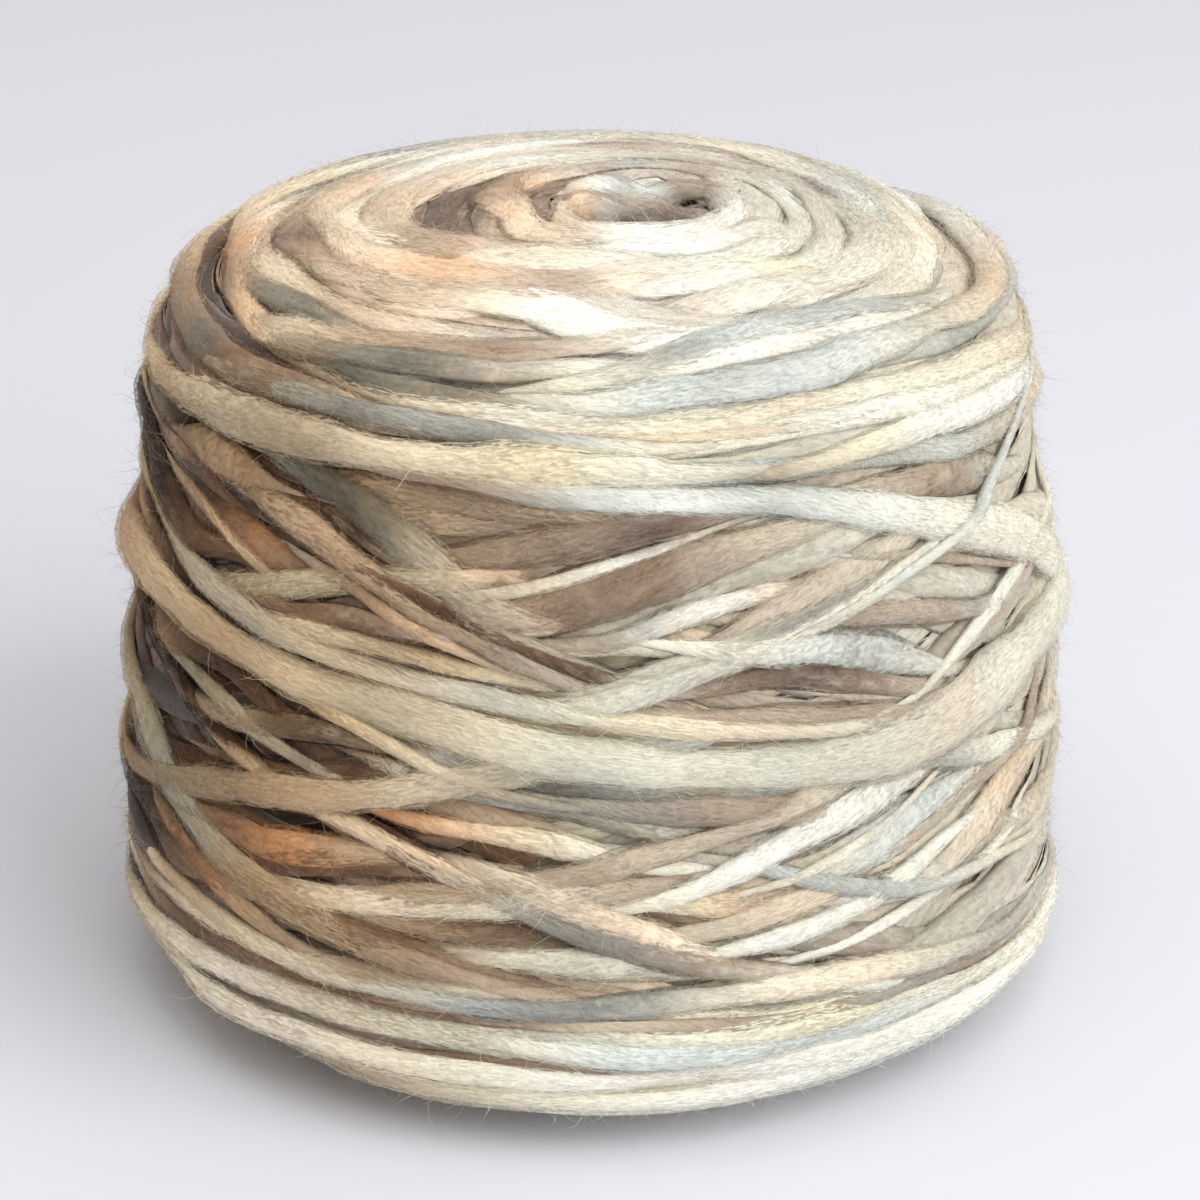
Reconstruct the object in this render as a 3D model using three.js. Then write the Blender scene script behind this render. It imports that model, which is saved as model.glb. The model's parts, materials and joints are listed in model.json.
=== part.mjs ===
// A cake of knitting yarn: one length of thick-and-thin wool, cross-wound on itself by a ball
// winder into a short, slightly tapered drum with round shoulders, a soft round foot and a
// funnel in the middle of its top, where the winder's spindle stood. It has no core.
// Millimetres, +Z up. The origin is under the middle of the cake, on the surface it stands on.

import * as THREE from 'three';

// ---- the wound form ----
const SHOULDER_TOP = 97.5;      // height where the shoulder meets the top
const CROWN = 2;                // the top rises by this much towards the funnel
const BELLY_RADIUS = 62.5;      // widest, where the foot meets the side
const SHOULDER_RADIUS = 56.5;   // where the side meets the shoulder
const FOOT_WIDTH = 28;          // the foot is a quarter ellipse, this wide and this tall
const FOOT_HEIGHT = 14.5;
const SHOULDER_WIDTH = 22;      // and so is the shoulder
const SHOULDER_HEIGHT = 12.5;

// ---- the funnel in the top, a little off the middle ----
const LIP_HEIGHT = SHOULDER_TOP + CROWN;
const LIP_RADIUS = 4.5;         // the rounding where the top turns down
const FUNNEL_RADIUS = 8.5;
const FUNNEL_FLOOR_RADIUS = 6.5;
const FUNNEL_DEPTH = 31;
const FUNNEL_FLOOR = LIP_HEIGHT - FUNNEL_DEPTH;
const FUNNEL_OFFSET_X = 6;
const FUNNEL_OFFSET_Y = 9;
const FUNNEL_RELIEF = 0.3;      // the wraps lie nearly smooth where they line the funnel

// ---- the underside: a flat ring to rest on, round a shallow dimple ----
const DIMPLE_RADIUS = 15;
const DIMPLE_DEPTH = 3;
const REST_RING_RADIUS = BELLY_RADIUS - FOOT_WIDTH;
const FOOT_RELIEF_SPAN = 22;    // the wraps' relief grows over this much of the foot

// ---- the relief of the wraps ----
const VALLEY_DEPTH = 2.8;       // how far the deepest gaps lie inside the wound form
const WRAP_RISE = 2.6;          // how far a wrap's back stands out of what it lies on
const REST_SHARE = 0.4;         // a wrap is lifted by this share of what it crosses
const COLUMNS = 96;

// Every wrap runs once round the cake as a tilted loop. level is the height of its middle, in
// mm along the side from mid side, and past 36 on over the shoulder; climb is how far it rises
// above that at the azimuth of its crest, and falls below it on the other side. Azimuth 0 faces
// -Y and 90 faces +X. The wraps are listed as they are wound, so that a later one lies over
// those that it crosses.
const MAIN_WRAPS = [
  { name: 'foot_low', level: -43, climb: 4, crest: 120, width: 13 },
  { name: 'foot_left', level: -35, climb: 3, crest: 20, width: 12 },
  { name: 'foot_band', level: -27, climb: 2, crest: 170, width: 10 },
  { name: 'low_fall', level: -19, climb: 15, crest: -124, width: 10 },
  { name: 'upper_rise', level: 26, climb: 13, crest: 80, width: 12 },
  { name: 'pair_rise', level: 17, climb: 15.5, crest: 120, width: 12 },
  { name: 'taupe_rise', level: -10, climb: 14, crest: 100, width: 11 },
  { name: 'beige_rise', level: 0, climb: 18, crest: 65, width: 9 },
  { name: 'steep_fall', level: -14, climb: 22, crest: -97, width: 9 },
  { name: 'main_sweep', level: -3.6, climb: 12.6, crest: -50, width: 11 },
  { name: 'long_fall', level: 11, climb: 24.5, crest: -10, width: 10 },
  { name: 'shoulder_left', level: 33, climb: 6, crest: -25, width: 12 },
  { name: 'shoulder_upper', level: 45, climb: 4, crest: -60, width: 12 },
  { name: 'top_slate', level: 51, climb: 8, crest: 33, width: 11 },
  { name: 'top_outer', level: 62, climb: 6, crest: -40, width: 11 },
  { name: 'top_middle', level: 72, climb: 5, crest: 150, width: 11 },
  { name: 'top_inner', level: 81, climb: 3, crest: 70, width: 10 },
];

// Under them the winder lays its wraps in regular layers. It turns each wrap on from the last
// by the same angle, so that the loops cross in lozenges, and moves their middles up the band.
const TURN_ON = 137.5;
const LAYERS = [
  { name: 'foot', wraps: 4, level: -48, spread: 10, climb: 6, width: 12 },
  { name: 'side', wraps: 5, level: 0, spread: 5, climb: 27, width: 12 },
  { name: 'shoulder', wraps: 4, level: 44, spread: 8, climb: 8, width: 12 },
  { name: 'top', wraps: 4, level: 72, spread: 11, climb: 4, width: 12 },
];

function wrapsOf(layer) {
  const wraps = [];
  for (let turn = 0; turn < layer.wraps; turn += 1) {
    const share = (turn + 0.5) / layer.wraps;
    wraps.push({
      level: layer.level + layer.spread * (2 * share - 1),
      climb: layer.climb,
      crest: turn * TURN_ON,
      width: layer.width,
    });
  }
  return wraps;
}

const WRAPS = [...LAYERS.flatMap(wrapsOf), ...MAIN_WRAPS];

// The meridian of the wound form, as stretches of (distance from the axis, height), from the
// middle of the underside out round the foot and up over the shoulder to the funnel's floor.
// rows is how many rows of faces each takes.
function meridianStretches() {
  const topRadius = SHOULDER_RADIUS - SHOULDER_WIDTH;
  const shoulderFoot = SHOULDER_TOP - SHOULDER_HEIGHT;
  const dimpleCurve = DIMPLE_RADIUS - DIMPLE_DEPTH;
  const lipCentre = FUNNEL_RADIUS + LIP_RADIUS;
  const throat = LIP_HEIGHT - LIP_RADIUS;
  const quarter = Math.PI / 2;
  const line = (r0, z0, r1, z1) => new THREE.LineCurve(
    new THREE.Vector2(r0, z0),
    new THREE.Vector2(r1, z1),
  );
  return [
    { name: 'dimple', rows: 1, curve: line(0, DIMPLE_DEPTH, dimpleCurve, DIMPLE_DEPTH) },
    { name: 'dimple_edge', rows: 1, curve: new THREE.EllipseCurve(dimpleCurve, 0, DIMPLE_DEPTH,
      DIMPLE_DEPTH, quarter, 0, true) },
    { name: 'rest_ring', rows: 1, curve: line(DIMPLE_RADIUS, 0, REST_RING_RADIUS, 0) },
    { name: 'foot', rows: 7, curve: new THREE.EllipseCurve(REST_RING_RADIUS, FOOT_HEIGHT,
      FOOT_WIDTH, FOOT_HEIGHT, -quarter, 0) },
    { name: 'side', rows: 23, curve: line(BELLY_RADIUS, FOOT_HEIGHT, SHOULDER_RADIUS,
      shoulderFoot) },
    { name: 'shoulder', rows: 8, curve: new THREE.EllipseCurve(topRadius, shoulderFoot,
      SHOULDER_WIDTH, SHOULDER_HEIGHT, 0, quarter) },
    { name: 'top', rows: 6, curve: line(topRadius, SHOULDER_TOP, lipCentre, LIP_HEIGHT) },
    { name: 'lip', rows: 3, curve: new THREE.EllipseCurve(lipCentre, throat, LIP_RADIUS,
      LIP_RADIUS, quarter, 2 * quarter) },
    { name: 'throat', rows: 2, curve: line(FUNNEL_RADIUS, throat, FUNNEL_FLOOR_RADIUS,
      FUNNEL_FLOOR) },
    { name: 'funnel_floor', rows: 1, curve: line(FUNNEL_FLOOR_RADIUS, FUNNEL_FLOOR, 0,
      FUNNEL_FLOOR) },
  ];
}

const STRETCHES = meridianStretches();

// How far along the meridian a stretch starts or, with 1 as its end, ends.
function distanceTo(name, end) {
  let distance = 0;
  for (const stretch of STRETCHES) {
    const length = stretch.curve.getLength();
    if (stretch.name === name) {
      return distance + end * length;
    }
    distance += length;
  }
  throw new Error(`no stretch of the meridian is named ${name}`);
}

const MID_SIDE = distanceTo('side', 0.5);
const FOOT_START = distanceTo('foot', 0);
const TOP_START = distanceTo('top', 0);
const LIP_START = distanceTo('lip', 0);
const THROAT_START = distanceTo('throat', 0);
const REST_PART = new Set(['dimple', 'dimple_edge', 'rest_ring']);

// The rows of the surface, each with its point on the meridian, its outward direction in the
// meridian's plane, and how far along the meridian it lies.
function surfaceRows() {
  const rows = [];
  for (const stretch of STRETCHES) {
    const length = stretch.curve.getLength();
    for (let row = 0; row < stretch.rows; row += 1) {
      const share = row / stretch.rows;
      const tangent = stretch.curve.getTangentAt(share);
      rows.push({
        point: stretch.curve.getPointAt(share),
        outward: new THREE.Vector2(tangent.y, -tangent.x),
        distance: distanceTo(stretch.name, 0) + share * length,
        rests: REST_PART.has(stretch.name),
      });
    }
  }
  return rows;
}

const AZIMUTHS = Array.from({ length: COLUMNS }, (_, column) => 2 * Math.PI * column / COLUMNS);

// How high the wraps laid so far stand at a column and a distance along the meridian: the
// highest of those that pass there. A wrap's section is a parabola across its width.
function heightOf(laidWraps, column, distance) {
  let height = 0;
  for (const laid of laidWraps) {
    const course = laid.courses[column];
    const across = (distance - course.middle) / course.halfWidth;
    height = Math.max(height, course.height * (1 - across ** 2));
  }
  return height;
}

// Lays the wraps one after another. Each is lifted at every column by the wraps that it crosses
// there, and is wider along the meridian where it runs at a slope.
function layWraps(wraps) {
  const laidWraps = [];
  for (const wrap of wraps) {
    const courses = AZIMUTHS.map((azimuth, column) => {
      const turn = azimuth - THREE.MathUtils.degToRad(wrap.crest);
      const middle = MID_SIDE + wrap.level + wrap.climb * Math.cos(turn);
      const slope = wrap.climb * Math.sin(turn) / SHOULDER_RADIUS;
      return {
        middle,
        halfWidth: wrap.width / 2 * Math.hypot(1, slope),
        height: WRAP_RISE + REST_SHARE * heightOf(laidWraps, column, middle),
      };
    });
    laidWraps.push({ courses });
  }
  return laidWraps;
}

const LAID_WRAPS = layWraps(WRAPS);

// The share of the relief that a row takes: none on the rest ring, all on the side, little in
// the funnel.
function reliefShare(row) {
  if (row.rests) {
    return 0;
  }
  const foot = THREE.MathUtils.smoothstep(row.distance, FOOT_START, FOOT_START + FOOT_RELIEF_SPAN);
  const funnel = THREE.MathUtils.smoothstep(row.distance, LIP_START, THROAT_START);
  return foot * (1 - (1 - FUNNEL_RELIEF) * funnel);
}

function reliefOf(row, column) {
  return reliefShare(row) * (heightOf(LAID_WRAPS, column, row.distance) - VALLEY_DEPTH);
}

function surfacePoint(row, azimuth, relief) {
  const reach = row.point.x + row.outward.x * relief;
  const height = row.point.y + row.outward.y * relief;
  const aside = THREE.MathUtils.smoothstep(row.distance, TOP_START, LIP_START);
  return new THREE.Vector3(
    aside * FUNNEL_OFFSET_X + reach * Math.sin(azimuth),
    aside * FUNNEL_OFFSET_Y - reach * Math.cos(azimuth),
    height,
  );
}

// A square of the grid is split along the diagonal whose ends stand out most evenly, so that the
// faces follow the wraps that cross it.
function facesOfSquare(reliefs, a, b, c, d) {
  if (Math.abs(reliefs[a] - reliefs[c]) <= Math.abs(reliefs[b] - reliefs[d])) {
    return [a, b, c, a, c, d];
  }
  return [a, b, d, b, c, d];
}

// The closed surface: a grid of azimuths by rows, whose first row is the point in the middle of
// the underside, and whose last is the point in the middle of the funnel's floor.
function cakeGeometry() {
  const rows = surfaceRows().slice(1);
  const points = [];
  const reliefs = [];
  for (const row of rows) {
    for (let column = 0; column < COLUMNS; column += 1) {
      const relief = reliefOf(row, column);
      reliefs.push(relief);
      points.push(...surfacePoint(row, AZIMUTHS[column], relief));
    }
  }
  const under = points.length / 3;
  points.push(0, 0, DIMPLE_DEPTH);
  const floor = under + 1;
  points.push(FUNNEL_OFFSET_X, FUNNEL_OFFSET_Y, FUNNEL_FLOOR);

  const faces = [];
  const last = (rows.length - 1) * COLUMNS;
  for (let column = 0; column < COLUMNS; column += 1) {
    const next = (column + 1) % COLUMNS;
    faces.push(under, next, column);
    faces.push(floor, last + column, last + next);
    for (let row = 0; row < rows.length - 1; row += 1) {
      const low = row * COLUMNS;
      const high = low + COLUMNS;
      faces.push(...facesOfSquare(reliefs, low + column, low + next, high + next, high + column));
    }
  }
  const geometry = new THREE.BufferGeometry();
  geometry.setAttribute('position', new THREE.Float32BufferAttribute(points, 3));
  geometry.setIndex(faces);
  return geometry;
}

// The origin stands under the middle of the box that the uneven wraps reach.
function centredOnItsBox(geometry) {
  geometry.computeBoundingBox();
  const middle = geometry.boundingBox.getCenter(new THREE.Vector3());
  geometry.translate(-middle.x, -middle.y, 0);
  geometry.computeVertexNormals();
  return geometry;
}

const wool = new THREE.MeshStandardMaterial({ color: 0xcfc3b4, roughness: 0.95, metalness: 0 });

const yarnCake = new THREE.Mesh(centredOnItsBox(cakeGeometry()), wool);
yarnCake.name = 'yarn_cake';

const cake = new THREE.Group();
cake.add(yarnCake);

export default cake;
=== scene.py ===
import json
import math
from collections import namedtuple

import bpy
import numpy as np
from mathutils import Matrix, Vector


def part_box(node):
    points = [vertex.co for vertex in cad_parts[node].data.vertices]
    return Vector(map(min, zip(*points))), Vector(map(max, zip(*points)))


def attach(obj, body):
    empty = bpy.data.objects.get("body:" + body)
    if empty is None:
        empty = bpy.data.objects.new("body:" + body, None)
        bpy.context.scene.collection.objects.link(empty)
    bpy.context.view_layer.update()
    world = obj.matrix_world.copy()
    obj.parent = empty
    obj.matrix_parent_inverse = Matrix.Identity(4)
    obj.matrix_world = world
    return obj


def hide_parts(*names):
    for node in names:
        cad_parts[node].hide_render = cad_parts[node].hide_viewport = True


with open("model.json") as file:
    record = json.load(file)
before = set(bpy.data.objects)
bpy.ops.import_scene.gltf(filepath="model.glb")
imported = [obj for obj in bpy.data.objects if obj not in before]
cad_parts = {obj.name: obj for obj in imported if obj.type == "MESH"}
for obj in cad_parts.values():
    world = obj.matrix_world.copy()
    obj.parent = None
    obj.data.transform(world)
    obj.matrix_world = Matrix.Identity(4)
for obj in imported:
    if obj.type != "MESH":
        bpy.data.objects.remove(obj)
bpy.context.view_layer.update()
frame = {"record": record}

# ---- The camera ----
# It looks down on the cake from in front, from about half a metre away, with a long lens, so that
# the top shows as a flat oval and the sides stand nearly upright.
CAMERA_DISTANCE = 0.480
CAMERA_ELEVATION = math.radians(23.9)
CAMERA_LENS_MM = 110.3
AIM_ASIDE, AIM_BELOW = 0.0010, 0.0028        # how far from the cake's middle it aims, in metres
cake_low, cake_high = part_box("yarn_cake")
AIM = Vector((AIM_ASIDE, 0, (cake_low.z + cake_high.z) / 2 - AIM_BELOW))

camera = bpy.data.objects.new("camera", bpy.data.cameras.new("camera"))
bpy.context.scene.collection.objects.link(camera)
camera_back = Vector((0, -math.cos(CAMERA_ELEVATION), math.sin(CAMERA_ELEVATION)))
camera.location = AIM + camera_back * CAMERA_DISTANCE
camera.rotation_mode = "QUATERNION"
camera.rotation_quaternion = (-camera_back).to_track_quat("-Z", "Y")
camera.data.lens = CAMERA_LENS_MM
camera.data.sensor_width = 36
camera.data.clip_start = 0.01
bpy.context.scene.camera = camera

# ---- The inside of the cake ----
# The turns that lie too deep to be told apart: the shadowed wool behind the wraps that show. It
# is one closed body of the wound form, drawn in by a few millimetres, and stands for the CAD
# solid. The form is a slightly tapered drum with a round foot, round shoulders and a funnel.
MM = 0.001
WRAPS_STAND_OUT, WRAPS_STAND_UP = 0.75, 0.8     # how far the solid's wraps stand past the form
BELLY_RADIUS = cake_high.x / MM - WRAPS_STAND_OUT
SHOULDER_RADIUS = BELLY_RADIUS - 6
LIP_HEIGHT = cake_high.z / MM - WRAPS_STAND_UP
SHOULDER_TOP = LIP_HEIGHT - 2
FOOT_WIDTH, FOOT_HEIGHT = 28, 14.5
SHOULDER_WIDTH, SHOULDER_HEIGHT = 22, 12.5
LIP_RADIUS = 4.5
FUNNEL_RADIUS, FUNNEL_FLOOR_RADIUS = 8.5, 6.5
FUNNEL_DEPTH = 31
DIMPLE_RADIUS, DIMPLE_DEPTH = 15, 3
INSIDE_DEPTH = 2.6
LINE_POINTS, ARC_POINTS = 120, 90
funnel_mouth = np.array(frame["record"]["physics"]["openings"][1]["box_m"]) / MM
FUNNEL_X, FUNNEL_Y = funnel_mouth.mean(0)[:2]


def wound_outline():
    """The form's outline in the plane of its axis: straight lines and quarter ellipses, from the
    middle of the underside out and up to the middle of the funnel's floor. Gives the level (the
    distance along the outline from mid side), the radius and the height of each point, and the
    direction square to the outline as its outward and upward parts."""
    quarter = np.linspace(0, np.pi / 2, ARC_POINTS)

    def line(r0, z0, r1, z1):
        share = np.linspace(0, 1, LINE_POINTS)
        return r0 + (r1 - r0) * share, z0 + (z1 - z0) * share

    def arc(r, z, wide, tall, start):
        return r + wide * np.cos(start + quarter), z + tall * np.sin(start + quarter)

    def arc_back(r, z, wide, tall):
        return r + wide * np.sin(quarter), z + tall * np.cos(quarter)

    top_radius = SHOULDER_RADIUS - SHOULDER_WIDTH
    shoulder_foot = SHOULDER_TOP - SHOULDER_HEIGHT
    lip_centre = FUNNEL_RADIUS + LIP_RADIUS
    floor = LIP_HEIGHT - FUNNEL_DEPTH
    stretches = [
        line(0, DIMPLE_DEPTH, DIMPLE_RADIUS - DIMPLE_DEPTH, DIMPLE_DEPTH),
        arc_back(DIMPLE_RADIUS - DIMPLE_DEPTH, 0, DIMPLE_DEPTH, DIMPLE_DEPTH),
        line(DIMPLE_RADIUS, 0, BELLY_RADIUS - FOOT_WIDTH, 0),
        arc(BELLY_RADIUS - FOOT_WIDTH, FOOT_HEIGHT, FOOT_WIDTH, FOOT_HEIGHT, -np.pi / 2),
        line(BELLY_RADIUS, FOOT_HEIGHT, SHOULDER_RADIUS, shoulder_foot),
        arc(top_radius, shoulder_foot, SHOULDER_WIDTH, SHOULDER_HEIGHT, 0),
        line(top_radius, SHOULDER_TOP, lip_centre, LIP_HEIGHT),
        arc(lip_centre, LIP_HEIGHT - LIP_RADIUS, LIP_RADIUS, LIP_RADIUS, np.pi / 2),
        line(FUNNEL_RADIUS, LIP_HEIGHT - LIP_RADIUS, FUNNEL_FLOOR_RADIUS, floor),
        line(FUNNEL_FLOOR_RADIUS, floor, 0, floor),
    ]
    radius = np.concatenate([r for r, _ in stretches])
    height = np.concatenate([z for _, z in stretches])
    keep = np.append(True, np.hypot(np.diff(radius), np.diff(height)) > 1e-6)
    radius, height = radius[keep], height[keep]
    level = np.append(0, np.cumsum(np.hypot(np.diff(radius), np.diff(height))))
    along_r, along_z = np.gradient(radius, level), np.gradient(height, level)
    steep = np.hypot(along_r, along_z)
    foot_end = level[np.argmax(radius)]
    side_length = np.hypot(BELLY_RADIUS - SHOULDER_RADIUS, shoulder_foot - FOOT_HEIGHT)
    level = level - foot_end - side_length / 2
    return level, radius, height, along_z / steep, -along_r / steep


OUTLINE = wound_outline()
LOWEST_LEVEL, HIGHEST_LEVEL = OUTLINE[0][0], OUTLINE[0][-1]
TOP_START = OUTLINE[0][np.argmax(OUTLINE[2] > SHOULDER_TOP - 1e-3)]
LIP_START = OUTLINE[0][np.argmax(OUTLINE[2] > LIP_HEIGHT - 1e-3)]


def smooth_step(x, low, high):
    """0 below low, 1 above high, and 3t^2 - 2t^3 between them."""
    t = np.clip((x - low) / (high - low), 0, 1)
    return t * t * (3 - 2 * t)


def on_form(azimuth, level, height):
    """Points in metres at an azimuth in degrees (0 faces the camera, 90 faces +X) and a level, and
    so many mm outside the form, square to its outline. The top slides aside to the funnel."""
    radius, rise, out_r, out_z = (np.interp(level, OUTLINE[0], o) for o in OUTLINE[1:])
    aside = smooth_step(level, TOP_START, LIP_START)
    turn = np.radians(azimuth)
    reach = np.maximum(radius + out_r * height, 0)
    return MM * np.stack(np.broadcast_arrays(
        aside * FUNNEL_X + reach * np.sin(turn),
        aside * FUNNEL_Y - reach * np.cos(turn),
        rise + out_z * height,
    ), axis=-1)


LEFT_SIDE, RIGHT_SIDE = -75, 75              # the azimuths at the middle of the left and the right


def side_share(azimuth, middle):
    """How much of the left or the right side an azimuth is: a smooth step of the cosine of its
    angle to the middle of that side, 1 up to 26 degrees from it and 0 from 81 degrees on."""
    return smooth_step(np.cos(np.radians(azimuth - middle)), 0.15, 0.9)


def mesh_of(name, points, faces, maps=(), colours=()):
    """A smooth mesh from an array of points and an array of faces with equally many corners each.
    maps holds (name, uv of each corner) and colours (name, colour of each point)."""
    mesh = bpy.data.meshes.new(name)
    count, corners = faces.shape
    mesh.vertices.add(len(points))
    mesh.vertices.foreach_set("co", points.astype(np.float32).ravel())
    mesh.loops.add(count * corners)
    mesh.loops.foreach_set("vertex_index", faces.astype(np.int32).ravel())
    mesh.polygons.add(count)
    mesh.polygons.foreach_set("loop_start", np.arange(0, count * corners, corners, dtype=np.int32))
    for map_name, uv in maps:
        layer = mesh.uv_layers.new(name=map_name, do_init=False)
        layer.data.foreach_set("uv", uv.astype(np.float32).ravel())
    for colour_name, colour in colours:
        attribute = mesh.attributes.new(colour_name, "FLOAT_COLOR", "POINT")
        rgba = np.column_stack([colour, np.ones(len(colour))])
        attribute.data.foreach_set("color", rgba.astype(np.float32).ravel())
    mesh.polygons.foreach_set("use_smooth", np.ones(count, bool))
    mesh.update(calc_edges=True)
    piece = bpy.data.objects.new(name, mesh)
    bpy.context.scene.collection.objects.link(piece)
    return piece


def linear(*srgb):
    """A colour given as 0 to 255 in the usual display values, as linear values."""
    share = np.array(srgb) / 255
    return np.where(share <= 0.04045, share / 12.92, ((share + 0.055) / 1.055) ** 2.4)


# Painted shade of the inside: lighter on the right, where the window light falls, and browner on the
# left, away from it.
INSIDE_SHADE_RIGHT, INSIDE_SHADE_LEFT = linear(172, 156, 136), linear(82, 66, 55)


def inside_of_the_cake(columns, rows):
    """The form drawn in by INSIDE_DEPTH, as a grid of azimuths by levels, closed by a fan of triangles
    at the middle of the underside and at the middle of the funnel's floor. Its colour is painted shade,
    lighter on the right, where the window light falls, and browner on its left, away from it."""
    share = (np.arange(rows) + 0.5) / rows
    level = LOWEST_LEVEL + share * (HIGHEST_LEVEL - LOWEST_LEVEL)
    azimuth = np.arange(columns) * 360 / columns
    grid = on_form(azimuth[None, :], level[:, None], -INSIDE_DEPTH)
    under = MM * np.array([0, 0, DIMPLE_DEPTH + INSIDE_DEPTH])
    floor = MM * np.array([FUNNEL_X, FUNNEL_Y, LIP_HEIGHT - FUNNEL_DEPTH - INSIDE_DEPTH])
    points = np.concatenate([grid.reshape(-1, 3), [under, floor]])
    column = np.arange(columns)
    following = (column + 1) % columns
    start = np.arange(rows - 1)[:, None] * columns
    a, b = start + column, start + following
    squares = np.stack([a, b, b + columns, a + columns], axis=-1).reshape(-1, 4)
    halves = np.concatenate([squares[:, [0, 1, 2]], squares[:, [0, 2, 3]]])
    last = (rows - 1) * columns
    under_point = np.full(columns, rows * columns)
    low_fan = np.stack([under_point, following, column], axis=-1)
    high_fan = np.stack([under_point + 1, last + column, last + following], axis=-1)
    # painted shade: browner towards the left, the side away from the window
    left_shading = side_share(azimuth, LEFT_SIDE)[None, :, None] * np.ones((rows, 1, 1))
    dye = INSIDE_SHADE_RIGHT * (1 - left_shading) + INSIDE_SHADE_LEFT * left_shading
    shaded_dyes = np.concatenate([dye.reshape(-1, 3), dye[-1, :2]])
    return points, np.concatenate([halves, low_fan, high_fan]), (), [("dye", shaded_dyes)]


def new_material(name, roughness, specular):
    """A material of one shader, so rough and so shiny. Gives it, its node tree and its shader."""
    material = bpy.data.materials.new(name)
    material.use_nodes = True
    shader = material.node_tree.nodes["Principled BSDF"]
    shader.inputs["Roughness"].default_value = roughness
    shader.inputs["Specular IOR Level"].default_value = specular
    return material, material.node_tree, shader


def add_node(tree, kind, sockets, **settings):
    """A shader node with its settings. sockets gives its inputs a value each, or an output of
    another node to link to. Gives its outputs."""
    node = tree.nodes.new("ShaderNode" + kind)
    for setting, value in settings.items():
        setattr(node, setting, value)
    for socket, value in sockets.items():
        if isinstance(value, bpy.types.NodeSocket):
            tree.links.new(value, node.inputs[socket])
        else:
            node.inputs[socket].default_value = value
    return node.outputs


def colour_of(tree, attribute):
    """The colour that the mesh carries at each point under this name."""
    return add_node(tree, "Attribute", {}, attribute_name=attribute)["Color"]


def scaled(tree, colour, tone):
    """A colour times a tone."""
    return add_node(tree, "VectorMath", {0: colour, "Scale": tone}, operation="SCALE")["Vector"]


def shadowed_wool():
    """Wool in shadow: the painted shade that each point carries, made uneven by a fine noise."""
    material, tree, shader = new_material("shadowed_wool", roughness=1, specular=0.1)
    place = add_node(tree, "TexCoord", {})["Object"]
    noise = add_node(tree, "TexNoise", {"Vector": place, "Scale": 900})["Fac"]
    tone = add_node(tree, "MapRange", {"Value": noise, "To Min": 0.5, "To Max": 1.4})["Result"]
    tree.links.new(scaled(tree, colour_of(tree, "dye"), tone), shader.inputs["Base Color"])
    return material


inside = mesh_of("inside", *inside_of_the_cake(columns=60, rows=60))
inside.data.materials.append(shadowed_wool())
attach(inside, "root")
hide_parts("yarn_cake")

# ---- The wraps ----
# One length of thick-and-thin single wool, softly twisted and dyed in short pastel runs, goes round and
# round. Every wrap is a tilted loop that lies over those wound before it. The ones that show in front
# are listed one by one, and the rest follow the winder's regular turns.
HUES = {
    "white": linear(243, 243, 235),
    "cream": linear(233, 230, 213),
    "yellow": linear(237, 228, 194),
    "peach": linear(235, 215, 190),
    "orange": linear(221, 184, 148),
    "pink": linear(213, 197, 179),
    "beige": linear(206, 194, 172),
    "sage": linear(206, 206, 190),
    "grey": linear(182, 176, 160),
    "taupe": linear(174, 156, 137),
    "brown": linear(136, 112, 93),
    "umber": linear(66, 46, 36),
    "pale_blue": linear(212, 218, 214),
    "blue": linear(185, 192, 190),
    "slate": linear(138, 141, 136),
    "teal": linear(104, 107, 98),
}
# How often each hue comes up where the runs aren't listed, on the wraps that show and on the deep ones.
# On the left the deep ones take umber and brown runs instead, as painted shade on the side away from
# the window.
USUAL_RUNS = ("white white cream cream cream peach orange beige beige pink pink sage grey taupe "
              "taupe brown blue pale_blue slate").split()
DEEP_RUNS = "cream cream beige beige pink taupe taupe brown grey slate peach sage".split()
DEEP_LEFT_SHADE_RUNS = "umber umber umber brown brown".split()

Wrap = namedtuple("Wrap", "azimuths levels widths hues slacks")


def listed(*rows):
    """The wraps that rows of text describe. After its name a row lists the places where the wrap
    runs in front: azimuth in degrees, level in mm, width in mm and hue, and where it lies loose
    also the slack in mm by which it stands off. Later wraps lie over earlier ones."""
    wraps = []
    for row in rows:
        places = [place.split() for place in row.partition(":")[2].split(",")]
        azimuths, levels, widths = ([float(place[i]) for place in places] for i in range(3))
        hues = [place[3] for place in places]
        slacks = [float(place[4]) if len(place) > 4 else 0 for place in places]
        wraps.append(Wrap(azimuths, levels, widths, hues, slacks))
    return wraps


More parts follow.
